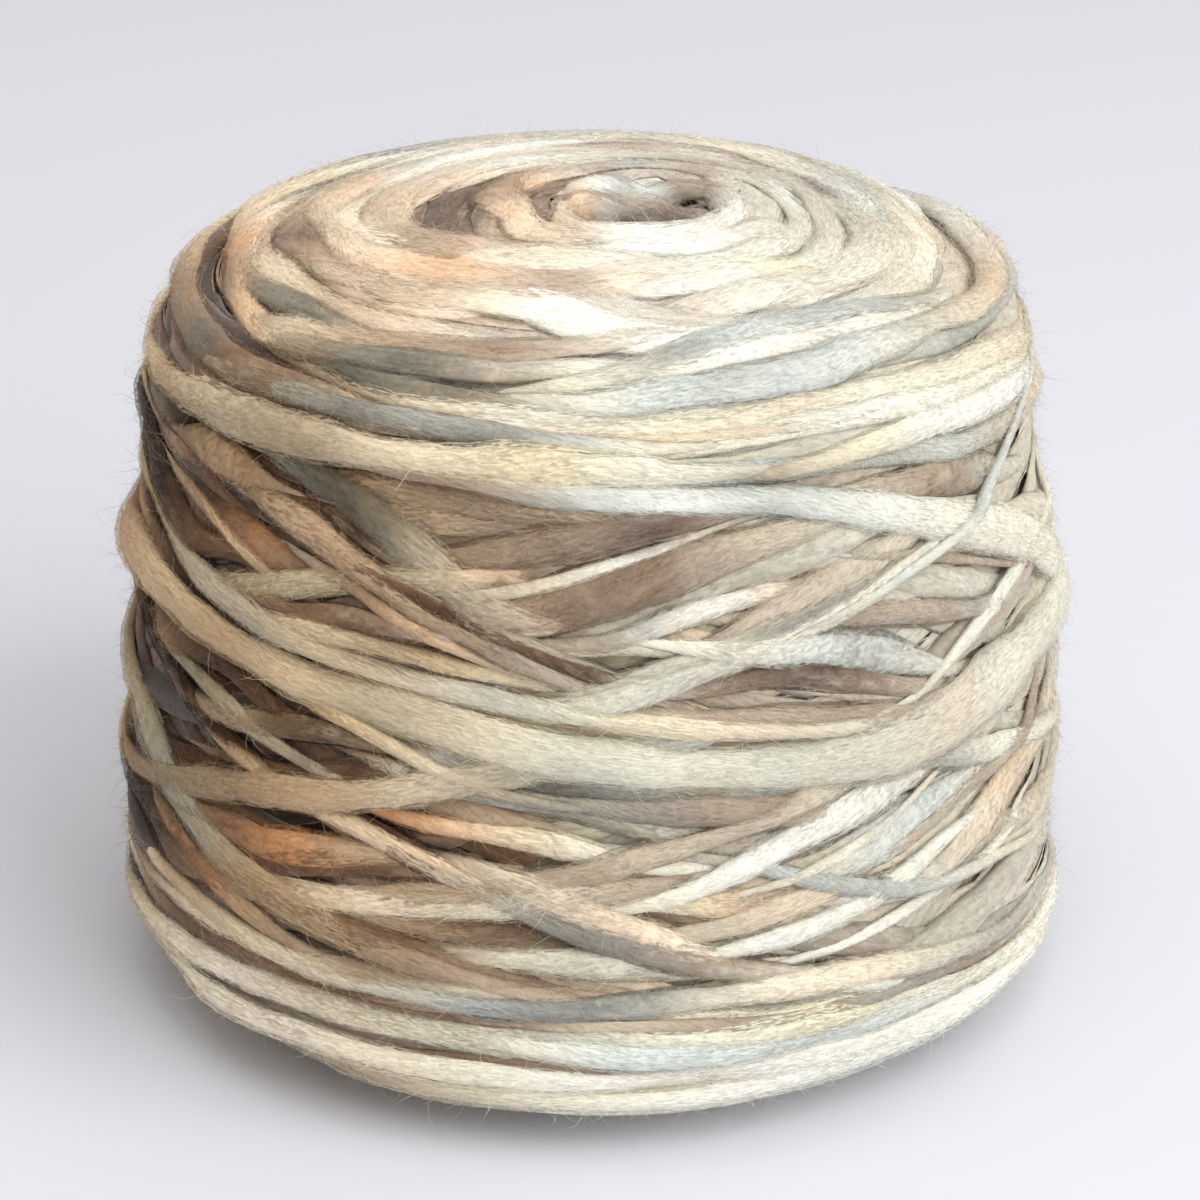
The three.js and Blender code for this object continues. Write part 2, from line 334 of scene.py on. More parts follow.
SIDE_WRAPS = listed(
    "umber_gap: -80 25 6 umber, -68 22 6 umber, -58 19 5 brown, -48 21 4 brown",
    "umber_high: -62 33 4 umber, -50 34 4 umber, -38 34.3 4 umber, -26 33.5 3 brown",
    "umber_low: -76 -19 5 umber, -66 -20 5 umber, -56 -21 5 brown, -46 -20 3 taupe",
    "brown_loft: -60 5.5 4 taupe, -50 6.5 4 umber, -42 4.8 3.5 brown, -34 2.5 3 umber",
    "dusk_left: -55 0 3 taupe, -46 1 3 sage, -38 3 3.5 brown, -30 3.5 3.5 umber, -20 2.5 3 beige",
    "brown_lozenge: -60 -10 4 umber, -50 -8.5 4.5 brown, -42 -7 4 brown, -34 -5.5 3 taupe, "
    "-28 -4.5 3 taupe",
    "brown_low: -38 -15.5 3 brown, -30 -13 4 brown, -24 -11.8 4 brown, -18 -12 3 taupe",
    "taupe_mid: -16 18.5 5 taupe, -8 20.5 6 taupe, 0 23 6 brown, 8 25.3 6 brown, 15 27 5 taupe, "
    "22 28 4 beige",
    "ochre_low: -38 29.6 3.5 brown, -28 30.6 4 taupe, -18 31.2 4 beige, -8 31.4 4 taupe, "
    "2 31.6 3.5 brown",
    "ochre_band: -36 32.8 3.5 brown, -26 33.6 3.5 beige, -14 34 3.5 taupe, -4 33.8 3.5 beige, "
    "4 33 3 taupe",
    "taupe_up: -24 24 4 taupe, -12 27 4 taupe, 0 30 4 taupe, 7 31.8 3.5 umber, 13 32.6 3 brown, "
    "20 33.5 3 pink",
    "slate_fall: -36 33.5 4 slate, -29 31 5 teal, -25 28.5 6 slate, -20 25 6 sage, -15 22 4 grey",
    "umber_streak: -38 30.4 1.6 umber, -34 29.2 2.2 umber, -30 27.4 2 umber, -25 25 1.6 brown",
    "orange_left: -56 26.5 2 umber, -50 25 3.4 brown, -43 23.3 3.4 orange, -36 21.5 2 umber",
    "pale_left: -58 25 2 taupe, -52 23 2.2 peach, -46 20.5 2.2 cream, -39 17.8 1.8 beige",
    "sage_rise: -60 12.5 3 beige, -52 15 3.5 sage, -45 17.2 3.5 cream, -38 19.8 3.5 sage, "
    "-30 22 3 cream, -22 23.5 3 sage",
    "dark_arc: -42 13.5 2 slate, -37 15.8 2.4 slate, -33 18.2 2.6 umber, -28 20.2 2.6 slate, "
    "-22 20 2.4 brown, -14 18 2 taupe",
    "brown_wedge: -38 16.5 2.5 taupe, -32 18 3.4 brown, -27 18.3 3.4 brown, -21 17.5 2.5 taupe",
    "pale_wedge: -40 14.8 2 cream, -32 16 2.8 cream, -25 15.6 2.6 beige, -15 13.8 2.6 yellow, "
    "-5 12 2.6 cream, 4 9.8 2.4 cream, 12 7.6 2 cream",
    "orange_spot: -8 15.5 2 taupe, -3 16.8 2.8 beige, 1 17.4 2.8 peach, 5 17.3 2.8 cream, "
    "10 16.6 2.6 white, 15 15.6 2 taupe",
    "white_wedge: 2 18 2 taupe, 7 19.6 3 blue, 12 21 3.4 white, 17 21.9 3.2 white, 22 22.3 2.6 peach, "
    "28 22.4 2 taupe",
    "grey_fall: -20 22 2.2 grey, -14 19.8 2.4 taupe, -6 16.8 2.4 grey, 2 13.2 2.2 slate, "
    "9 9.8 2.2 grey, 17 6 2 beige",
    "peach_thread: -28 21.5 1.8 taupe, -20 18.3 2 peach, -12 15.6 2 beige, -4 13 1.8 peach, "
    "4 9.8 1.8 cream, 12 6.4 1.6 peach",
    "white_up: -8 23.8 1.2 beige, -3 25 1.5 cream, 4 27.2 1.6 white, 11 29.2 1.5 cream, "
    "16 30.4 1.2 beige",
    "pink_fall: -48 29.2 0.8 umber, -46 28.8 2.6 beige, -42 28.2 4.4 beige, -38 27.4 4.6 cream, "
    "-34 26 4.4 pink, -30 24 4.2 pink, -25 22 4 beige, -20 20 3.4 beige, -13 17.4 2.6 taupe, "
    "-5 13.9 2.2 grey, 3 10.4 2 pink, 11 7 1.8 beige",
    "umber_thread: -22 23 1.4 brown, -17 21 1.6 umber, -9 17.8 1.6 brown, -1 14.4 1.6 umber, "
    "6 11.2 1.5 brown, 14 7.4 1.3 taupe",
    "pink_end: -69 29.6 0.8 umber, -66 30 4 pink, -62 29.8 4.2 pink, -59 29.2 0.8 brown",
    "beige_end: -60 31.8 0.8 umber, -57 32.2 4 beige, -53 32 5.6 beige, -49 31.6 5.8 beige, "
    "-46 31.2 5 beige, -43.5 30.8 0.8 taupe",
    "brown_right: 26 18.2 4 brown, 34 17.4 4.5 taupe, 42 15.6 4.5 taupe, 50 13 3 brown",
    "pink_pair: 8 14 3 taupe, 15 17 4 taupe, 20 19.4 4.5 pink, 27 22.3 4.5 taupe, 36 24.6 4 beige, "
    "46 26.5 3.5 pink",
    "brown_patch: 38 31 3 taupe, 45 30.2 4.5 brown, 51 29 4.5 brown, 57 27.3 4 taupe, 63 25.5 3 beige",
    "taupe_under: 4 8 3 beige, 14 6.5 3.5 taupe, 24 5.2 4 taupe, 34 4 4.5 brown, 44 2.8 4.5 taupe, "
    "54 1.5 4 beige",
    "brown_thin: 12 11.5 2 taupe, 18 12.2 2.4 brown, 24 12 3 umber, 30 10 3 umber, 36 8 2.6 brown, "
    "42 5.8 2 taupe",
    "teal_thin: -46 -5 1.6 taupe, -38 -2.8 1.8 teal, -30 -0.3 1.8 slate, -23 2.2 1.8 teal, "
    "-15 4.6 1.5 grey",
    "brown_ribbon: -36 -4.5 2.5 taupe, -30 -2.4 3.2 brown, -24 -0.8 3.4 umber, -18 1 3.2 brown, "
    "-12 3 2.4 taupe",
    "green_left: -54 3.5 2 slate, -47 2 2.6 sage, -40 0 2.6 sage, -34 -2 2 slate",
    "slate_mid: -12 2.2 3 slate, -6 1.6 4 teal, 0 0.8 4 slate, 6 -0.5 4 slate, 12 -1.8 3.4 taupe, "
    "18 -3 3 slate",
    "blue_mid: -16 -1.2 3 blue, -9 -2 3.8 pale_blue, -3 -2.9 4 slate, 3 -4.4 3.8 grey, "
    "9 -6.2 3.4 sage, 15 -8 3 taupe",
    "yellow_wedge: -19 -6.2 2.4 orange, -13 -6.2 3.2 peach, -7 -6.6 3.4 yellow, -1 -8 3.2 cream, "
    "5 -10 2.4 cream",
    "grey_wedge: 6 -2.6 2.5 slate, 13 -3.2 3.4 taupe, 20 -4.2 3.4 brown, 27 -5.8 3 taupe, "
    "33 -7.5 2.4 taupe",
    "orange_patch: -52 -14.3 2.6 taupe, -45 -13.4 3.4 brown, -38 -12.3 3.6 orange, "
    "-32 -11.2 3.2 orange, -26 -10.2 2.6 beige",
    "slate_low: -24 -19.2 2.6 beige, -15 -19 3.2 taupe, -6 -19.3 3.4 brown, 1 -20.2 3.4 umber, "
    "8 -21.6 2.6 slate",
    "cream_low: -18 -22.4 2.6 taupe, -9 -21.8 3.4 cream, 0 -22.2 3.6 sage, 8 -23.4 3.2 cream, "
    "14 -25 2.6 cream",
    "orange_low: -56 -19 2.6 brown, -48 -21.4 3.4 orange, -41 -23.8 3.2 beige, -34 -26 2.6 taupe",
    "gold_wedge: 4 -14.2 2.6 cream, 10 -15.6 3.6 yellow, 16 -16.3 3.6 orange, 22 -15.8 3.2 taupe, "
    "28 -14.5 2.6 taupe",
    "taupe_right: 14 -18.5 2.8 beige, 22 -17 3.6 peach, 30 -15.4 3.8 taupe, 38 -13.3 3.4 yellow, "
    "46 -10.5 2.8 beige",
    "pale_patch: 28 -13.4 3 beige, 34 -12.2 4.2 pale_blue, 41 -11 4.6 blue, 48 -10 4.2 pale_blue, "
    "55 -9.6 3 cream",
    "slate_right: 38 -18.2 3 taupe, 45 -17 4.4 slate, 51 -17.2 4.6 brown, 57 -18.4 4 taupe, "
    "63 -20 3 beige",
    "orange_right: 44 -18.8 3 grey, 52 -15.6 4.2 peach, 60 -13.4 4.4 orange, 68 -11.6 3.6 beige",
    "cream_step: 12 -22.6 1.8 cream, 19 -21.6 2.2 white, 27 -20.6 2.4 white, 36 -18.6 2.2 cream, "
    "45 -15.2 1.8 white",
    "white_step: 16 -26.2 1.4 cream, 24 -25 1.7 white, 33 -23.8 1.9 white, 42 -22.5 1.8 white, "
    "52 -20.8 1.6 cream, 60 -19 1.5 cream",
    "blue_thread: 12 -9.2 1.6 beige, 18 -10.8 2 blue, 25 -13.4 2.1 blue, 32 -16.6 2.1 slate, "
    "40 -19.4 2.1 blue, 48 -21.2 2 pale_blue, 58 -22.8 1.8 beige",
    "umber_fall: -78 10.5 2.4 taupe, -68 6 2.8 umber, -60 2.2 3 umber, -52 -1.6 2.8 umber, "
    "-44 -5 2.6 brown, -36 -8 2.2 taupe",
    "brown_strip: -37 -19 3 taupe, -30 -20.4 3.8 brown, -22 -22.2 3.8 brown, -14 -24.4 3.4 taupe, "
    "-7 -26.6 3 brown",
    "brown_dart: -32 -6.4 2.4 taupe, -26 -7.6 3 brown, -19 -9.8 3.2 umber, -12 -11.6 3 brown, "
    "-5 -12.6 2.2 taupe",
    "cream_wedge: -40 -18.6 3 beige, -33 -18 3.8 cream, -25 -17 4.2 white, -16 -15.7 4 cream, "
    "-8 -14.6 3.4 cream, 0 -13.2 3 beige",
    "blue_fall_low: -72 -7 3.5 sage, -60 -12 4 blue, -50 -16.3 4.2 blue, -40 -19.3 4.2 beige, "
    "-30 -21.9 4 beige, -20 -24.2 3.8 taupe, -8 -27 3.4 taupe, 4 -29 3 beige, 16 -30.6 2.8 cream",
    "taupe_rise: -16 -14.6 3 beige, -10 -13.2 3.6 taupe, 0 -11 4 taupe, 10 -8.2 4 beige, "
    "20 -5.6 3.8 taupe, 30 -3.6 3.6 beige, 40 -2 3 cream",
    "cream_thread: 24 -13.6 1.2 beige, 30 -12 1.4 cream, 37 -9.8 1.5 white, 43 -7 1.4 cream, "
    "48 -4.6 1.2 cream",
    "white_rise: 10 -13.6 2.6 cream, 16 -11.8 3.4 white, 24 -9.2 4 white, 32 -7 4 white, "
    "39 -4.9 3.6 white, 46 -3.2 2.8 cream",
    "peach_fall: -7 -12 2.8 cream, -1 -14.6 3.8 peach, 5 -17.8 3.8 peach, 10 -20.6 3.6 peach, "
    "15 -23.4 3.2 cream, 20 -26 2.6 cream",
    "long_thread_fall: -44 -5.2 2.2 beige, -34 -7.2 2.4 cream, -26 -8.8 2.8 cream, -18 -11 2.8 peach, "
    "-10 -14.2 2.8 sage, -4 -17 2.8 slate, 4 -20 2.6 slate, 12 -23 2.6 brown, 20 -26 2.4 taupe, "
    "28 -28.6 2.2 cream",
    "beige_rise: -70 -15.5 3 taupe, -60 -12.8 3.6 grey, -50 -10 4 grey, -40 -7.6 4.2 beige, "
    "-30 -5 4.2 beige, -20 -2 4 cream, -10 1 3.8 grey, -2 3.2 3.4 sage, 6 5 3 sage",
    "cream_lens: 40 -3.6 2.4 grey, 47 -5.2 3.2 slate, 54 -6.8 3.6 cream, 61 -8.6 3.6 white, "
    "68 -10 3.4 cream, 76 -11.4 3 beige",
    "brown_rise_right: 44 -12 1.6 taupe, 51 -10.8 2 brown, 58 -11 2 beige, 65 -9.6 2 brown, "
    "72 -7 1.8 taupe, 80 -4.4 1.6 brown",
    "cream_rise_right: 42 5.4 1.6 beige, 47 8 2 cream, 51 9.8 2.2 white, 55 11.8 2.3 cream, "
    "60 13.4 2.2 white, 64 14.6 2.1 cream, 70 16 2 cream",
    "brown_lines: 40 23.5 1.5 taupe, 47 20.9 1.9 brown, 54 18.2 1.9 taupe, 61 15.6 1.8 brown, "
    "68 13.2 1.6 taupe",
    "slate_pair: 2 11.8 1.8 sage, 9 14.4 2.4 sage, 16 16.6 2.8 beige, 22 18.6 3 slate, 31 21 3 slate, "
    "40 23 2.2 taupe, 48 24.6 1.4 pink",
    "cream_pair: -8 7.6 2.2 cream, 0 9.8 2.6 cream, 8 12.2 3 sage, 15 14.4 3.4 sage, 22 16 3.6 cream, "
    "31 18.4 3.4 cream, 40 21.2 2.6 cream, 47 23 1.8 pale_blue",
    "blue_fall: 14 16.4 2 cream, 20 15.6 3 cream, 26 14.4 3.6 pale_blue, 32 12.2 4 blue, "
    "38 10 3.8 blue, 43 7.8 2.8 pale_blue, 48 5.2 1.4 pink",
    "umber_sweep: -66 15.8 1.8 taupe, -58 14.6 2.2 umber, -50 13.4 2.4 umber, -42 12.3 2.4 umber, "
    "-34 11.2 2.2 umber, -26 10.3 2 brown, -18 9.2 1.8 taupe",
    "orange_thread: -34 11 1.2 brown, -27 10.2 1.6 orange, -20 9.4 1.8 orange, -12 8.2 1.6 yellow, "
    "-4 6.8 1.4 peach",
    "thin_sweep: -72 19.5 2.4 beige, -62 17.5 2.6 sage, -52 15.7 2.8 pale_blue, -42 14.4 2.8 blue, "
    "-32 13 2.6 cream, -22 11.9 2.6 cream, -12 10.6 2.8 pale_blue, -2 9.2 2.8 cream, 8 7.6 2.8 yellow, "
    "18 5.9 2.6 peach, 28 4.4 2.4 beige",
    "cream_line: -56 12.4 2 taupe, -48 10.2 2.3 cream, -40 7.8 2.4 cream, -31 5 2.3 yellow, "
    "-23 3 2.2 cream, -17 1.4 2 cream, -10 -0.6 1.8 beige",
    "main_sweep: -84 10.5 5.6 beige 1.2, -72 12.6 6.2 pink 1.4, -60 11.6 5.8 cream 0.8, "
    "-48 9.6 5.2 beige 0.3, -36 7.9 5.2 cream 0, -24 6.7 5.2 sage 0, -12 5.4 5.2 cream 0, "
    "0 3.8 5.2 sage 0, 12 2 5 cream 0, 24 0.6 5.2 sage 0, 36 -0.2 6.2 sage 0, 48 0.6 8.6 pink 0.3, "
    "58 1.4 10.5 cream 0.8, 68 2.4 11.5 sage 1.2, 78 3.4 11 cream 1.2",
)
BAND_WRAPS = listed(
    "low_cream: -68 -29.6 3 taupe, -54 -28 3.4 cream, -40 -27 3.4 cream, -26 -26.6 3.2 taupe, "
    "-14 -26.8 2.8 sage",
    "low_brown: -66 -32.4 2.4 taupe, -54 -31.4 2.8 brown, -42 -30.4 2.8 taupe, -32 -30 2.6 brown, "
    "-22 -30.4 2.2 taupe",
    "low_sage: -32 -31.8 2.4 cream, -20 -32.2 2.8 sage, -8 -32.6 2.8 cream, 4 -32.2 2.6 sage, "
    "16 -31.5 2.6 cream, 28 -31.3 2.2 cream",
    "low_cream_right: 2 -32.4 2.8 sage, 14 -31.9 3.2 cream, 26 -32 3.4 yellow, 38 -33.6 3.4 cream, "
    "50 -36 3.2 cream, 62 -38 3 beige",
    "low_slate: -56 -25.4 2.8 beige, -42 -27 3.2 cream, -28 -28.2 3.4 cream, -14 -29 3.4 blue, "
    "-4 -28.9 3.4 slate, 6 -28.7 3.4 slate, 18 -28.4 3.2 cream, 32 -28.8 3.2 peach, 46 -30.8 3 grey, "
    "60 -33.5 2.8 slate",
    "low_dark: -24 -31.8 1.4 taupe, -12 -31 1.8 brown, 0 -30.6 1.6 beige, 12 -30.2 1.6 taupe, "
    "26 -30.2 1.7 brown, 40 -31.8 1.9 slate, 52 -34 1.9 brown, 64 -36.4 1.6 taupe",
    "low_white: -76 -37.4 3.4 beige, -62 -36 3.8 cream, -48 -34.8 4 white, -34 -33.9 4 cream, "
    "-20 -33.8 3.8 cream, -8 -34.3 3.4 sage, 2 -35.2 2.8 beige",
    "low_pale_blue: -8 -33.8 2.8 cream, 4 -34.6 3.8 pale_blue, 16 -35.6 4.2 pale_blue, "
    "28 -36.2 4.2 blue, 40 -36.8 4 pale_blue, 54 -38.6 3.6 cream, 68 -40.4 3.2 cream",
    "foot_brown: -48 -38.6 1.8 beige, -36 -37.9 2.2 taupe, -26 -37.3 2.4 brown, -15 -36.4 2.4 brown, "
    "-5 -36 2.2 taupe, 6 -37 2.2 brown, 18 -38.6 2.2 taupe, 30 -40 1.8 beige",
    "foot_white: -80 -41 4.4 beige, -60 -39.8 4.8 cream, -40 -39.6 5 white, -20 -39.6 5 cream, "
    "0 -39.2 5.2 white, 20 -39.6 5.2 white, 40 -40.2 5 white, 60 -41.4 4.8 white, 80 -43 4.4 cream",
    "foot_cream: -80 -45.6 4.6 taupe, -55 -44.8 5 sage, -30 -44.2 5.2 beige, -5 -43.8 5 cream, "
    "20 -44 5.2 white, 45 -44.8 5 pale_blue, 70 -46 4.6 cream",
    "foot_beige: -80 -50 5 beige, -50 -49.2 5.4 cream, -20 -48.4 5.4 sage, 10 -48.4 5.4 white, "
    "40 -49 5.4 cream, 70 -50 5 cream",
    "foot_last: -80 -54.5 5 cream, -40 -53.8 5.4 beige, 0 -53 5.6 cream, 40 -53.6 5.4 cream, "
    "80 -54.6 5 beige",
)
SHOULDER_WRAPS = listed(
    "grey_left: -74 54 3.4 taupe, -64 55.2 4.2 slate, -54 55.2 4.4 teal, -45 54.6 4 slate, "
    "-36 54 3.2 beige",
    "dusk_shoulder: -82 45.2 4 taupe, -72 44.6 4.6 taupe, -62 43.8 4.8 slate, -52 43.2 4.8 brown, "
    "-43 43.3 4.4 brown, -34 44 3.6 beige",
    "cream_mid_band: -24 42.6 4.4 cream, -12 43.2 5 white, 0 43.6 5.2 cream, 12 44.2 5.2 cream, "
    "24 44.2 5 peach, 38 43.2 5 cream, 52 42.2 5 cream, 66 40.6 4.6 peach, 78 39 4.4 beige",
    "cream_low_band: 2 39.8 2.6 beige, 12 40.8 3.2 cream, 24 41.4 3.4 cream, 38 41.2 3.4 white, "
    "52 40.2 3.2 cream, 66 38.8 3 cream",
    "ochre_line: -10 43.4 1 cream, 0 43.3 1.3 orange, 10 43 1.3 yellow, 20 42.6 1.3 orange, "
    "30 41.9 1 cream",
    "blue_thin_band: -48 41.8 2 grey, -40 42.6 2.6 blue, -32 43.1 2.8 slate, -22 43.2 2.8 blue, "
    "-12 42.8 3 slate, -3 42.2 2.8 blue, 6 41.4 2.2 cream",
    "peach_band: -78 51.6 3.4 taupe, -68 50.4 3.8 peach, -58 49.3 4 peach, -48 48.3 4 cream, "
    "-38 47.2 4 beige, -28 46.1 4 cream, -18 45.7 4 cream, -7 46.2 4.2 white, 4 47 4.4 cream, "
    "15 46.4 3.6 cream",
    "teal_shoulder: -44 49.2 2.6 grey, -36 48.8 3.2 teal, -28 48.3 3.4 slate, -20 47.9 3.2 teal, "
    "-12 47.7 2.8 grey, -3 47.4 2.2 beige",
    "beige_shoulder: -50 52.4 5 cream, -38 53.4 6 beige, -26 54.8 6.4 taupe, -14 56.4 6.4 brown, "
    "-3 57.8 6 taupe, 8 59 5 beige",
    "slate_shoulder: -42 49.6 3 taupe, -34 50.8 3.8 slate, -27 51.6 4 teal, -19 52.1 3.8 slate, "
    "-11 52.3 3.4 grey, -2 53 2.8 cream",
    "blue_wide: -2 48.2 3.4 cream, 8 48.9 4.2 pale_blue, 18 49.2 4.6 blue, 30 49.5 4.6 blue, "
    "42 49.9 4.4 pale_blue, 54 49.2 4 grey, 66 47.6 3.4 beige",
    "white_shoulder: 10 51.8 3 cream, 18 53.8 3.8 white, 28 54.6 4.2 white, 38 54.5 4.2 pale_blue, "
    "48 53.6 3.8 white, 58 51.6 3 beige",
    "slate_top: 0 49.8 2.8 cream, 8 52.2 3.4 grey, 15 54.6 3.8 slate, 22 57 4.2 blue, "
    "30 58.9 4.4 blue, 40 59.4 4.4 slate, 49 57.6 4.2 blue, 56 54.4 3.6 slate, 63 51.4 3 taupe",
    "grey_band: -2 38.2 2.4 cream, 8 37.8 2.8 grey, 17 37.3 3 blue, 27 36.6 3 blue, 37 35.4 3 grey, "
    "47 34.2 3 blue, 58 32.8 2.8 grey, 70 31 2.8 beige",
    "white_right: 28 36.9 2.8 beige, 36 37.5 3.4 yellow, 45 37.8 3.8 white, 54 37.5 3.8 white, "
    "63 36.9 3.6 white, 72 35.6 3.6 white, 82 33.6 3.4 cream",
    "big_band: -86 34.6 4.6 beige, -76 35.8 4.8 cream, -66 37 5 beige, -56 37.9 5 cream, "
    "-46 38.4 5 sage, -36 38.6 5 grey, -26 38.6 4.8 cream, -16 38.6 4.6 cream, -6 38.5 4 yellow, "
    "4 38.2 3 cream, 12 37.8 2.2 cream",
    "long_fall: -18 36 2.4 taupe, -9 35.7 2.8 beige, 0 35.2 3 pale_blue, 10 34.5 3.2 white, "
    "20 33.2 3.6 blue, 30 31 4 pale_blue, 40 28 4.6 white, 50 24.2 5.2 cream, 60 19.8 5.6 cream, "
    "70 14.2 6 cream, 80 7.5 6.2 white, 88 1.5 6 cream",
    "blue_over: 33 19.2 1.3 cream 0.2, 39 21 1.5 pale_blue 0.4, 45 22.8 1.6 cream 0.6, "
    "52 25.2 1.6 blue 1, 59 28 1.6 pale_blue 1, 66 31 1.6 blue 0.6, 74 34.2 1.4 pale_blue 0.2",
)
TOP_WRAPS = listed(
    "back_blue: 120 57.5 3.6 brown, 140 58 4 slate, 160 57.5 4.4 beige, 180 57 4.6 blue, "
    "205 57.5 4.2 blue, 235 58 3.8 beige",
    "back_beige: 100 63 3.6 beige, 125 62.4 4 brown, 145 62 4.2 beige, 165 61.6 4.2 cream, "
    "190 62 4.2 beige, 215 62.6 4.2 peach, 240 63.4 4 cream, 262 63.6 3.8 beige",
    "left_rim: -122 57.6 3.8 cream, -104 58.2 4.2 beige, -88 58 4.4 pink, -72 58.6 4.4 cream, "
    "-56 59.6 4.6 beige, -40 60 4.4 pink, -24 59.4 3.6 cream",
    "right_rim: 18 57.6 3.6 white, 32 59 4.2 white, 48 58 4.6 pale_blue, 64 57 4.6 beige, "
    "80 57.4 4.4 cream, 96 58 4.2 peach, 112 58 4 beige",
    "grey_right: 46 62.4 3.4 cream, 60 61.6 4 pink, 74 61 4.2 peach, 88 61.4 4.2 beige, 104 62 4 blue, "
    "120 62.6 3.8 brown",
    "umber_left: -112 62.6 3.4 cream, -98 61.8 3.8 taupe, -88 61.2 4.2 umber, -78 61.6 4.4 brown, "
    "-68 62.6 4.2 taupe, -56 63.6 4.2 pink, -44 64.4 4 beige, -32 64.8 3.2 cream",
    "orange_back: 190 69 3.4 pale_blue, 206 68.4 4 peach, 220 68.6 4.2 orange, 234 69.6 4 peach, "
    "248 70.6 3.6 beige",
    "brown_back: 208 74 3.2 peach, 222 73 3.8 taupe, 234 72.2 4.2 brown, 246 72 4.2 brown, "
    "260 72.8 3.8 beige, 274 74 3.4 cream",
    "pink_right: 8 65.6 3.6 cream, 22 67.4 4.4 pink, 38 67.6 4.6 cream, 54 66.2 4.6 beige, "
    "70 65.2 4.4 cream, 86 65.4 4.2 pink, 102 66 4 beige, 118 66.8 3.6 sage",
    "blue_spot: 70 70.4 3.4 beige, 84 69.8 4 beige, 98 69.8 4.2 blue, 112 70.4 4 pale_blue, "
    "128 71 3.8 cream, 146 71.4 3.6 beige",
    "sage_right: 58 75.2 3.6 cream, 74 74.6 4.2 beige, 90 75 4.6 sage, 106 76 4.8 white, "
    "122 77.2 4.6 sage, 138 78 4.2 cream, 156 78 3.6 beige",
    "cream_left: -134 65.6 3.4 beige, -118 65.2 3.8 sage, -104 65 4 cream, -92 66 4.2 cream, "
    "-80 68.6 4.2 white, -70 71.4 3.8 cream, -58 74 3 taupe",
    "taupe_top: -60 61.8 3.4 beige, -48 64.4 4 cream, -38 66.6 4.2 grey, -24 69 4.2 cream, "
    "-13 70.2 4.2 pink, -3 69.6 4 taupe, 8 66 3.8 pink, 20 62.4 3.4 taupe, 30 60.8 2.8 cream",
    "peach_top: -84 64.6 3.4 beige, -70 65.4 4 cream, -58 67 4.4 peach, -46 69.6 4.6 orange, "
    "-32 71.6 4.4 peach, -20 71.8 4 taupe, -9 72.8 4.2 brown, 1 74 4.6 peach, 14 74 4.6 peach, "
    "28 72.6 3.8 yellow",
    "yellow_top: 16 70.6 3.2 white, 28 72.2 4 white, 38 73 4 cream, 46 72 3.8 yellow, "
    "54 70.2 3.8 yellow, 64 69 3.6 cream, 78 69 3.6 pink, 92 70 3.4 beige",
    "white_top: -44 64.2 3.4 beige, -34 66 5 beige, -24 66.6 5.8 cream, -13 66.2 6 white, "
    "-3 63.6 5.8 cream, 5 60.2 5.4 white, 13 58 4.8 white, 21 57.4 4.2 white, 30 57.4 3.2 white",
    "taupe_inner: -74 71.6 3.2 brown, -62 72.4 3.8 taupe, -50 74 4 pink, -40 75.4 4 blue, "
    "-28 77.4 3.8 beige, -14 79.2 3.6 cream, 0 80.2 3.6 white, 14 80.2 3.6 pale_blue, "
    "30 79.4 3.6 white, 46 78.4 3.6 cream, 64 78 3.4 sage",
    "cream_inner: -40 75 2.8 cream, -24 76 3.6 white, -8 76.6 3.8 cream, 8 77 3.8 pink, "
    "24 76.6 3.8 white, 40 75.6 3.6 cream, 56 75 3 cream",
    "rim_left: -160 79.6 3 grey, -136 79 3.4 taupe, -112 79.2 3.8 brown, -90 80 3.8 taupe, "
    "-70 80.6 3.6 peach, -50 81.2 3.4 cream, -30 82.2 3.2 beige, -12 83 2.8 cream",
    "rim_back: 120 83.6 3 pink, 140 82.4 3.4 brown, 160 81 3.6 taupe, 180 80.6 3.6 slate, "
    "200 81.4 3.4 brown, 220 83 3 taupe",
    "rim_white: -44 82 2.8 cream, -24 82.6 3.4 white, -4 83 3.6 white, 16 83.2 3.6 white, "
    "40 83.8 3.4 cream, 66 85.2 3.4 white, 94 87 3.4 pink, 122 88.4 3.2 brown, 150 89 3 brown",
    "rim_in: -110 90 3.2 taupe, -76 88 3.4 cream, -42 86 3.4 beige, -10 85 3.4 white, "
    "24 85.6 3.4 white, 62 88 3.4 cream, 100 90.6 3.4 pink, 140 92 3.4 brown, 180 91.4 3.4 taupe, "
    "220 90.6 3.4 umber",
)

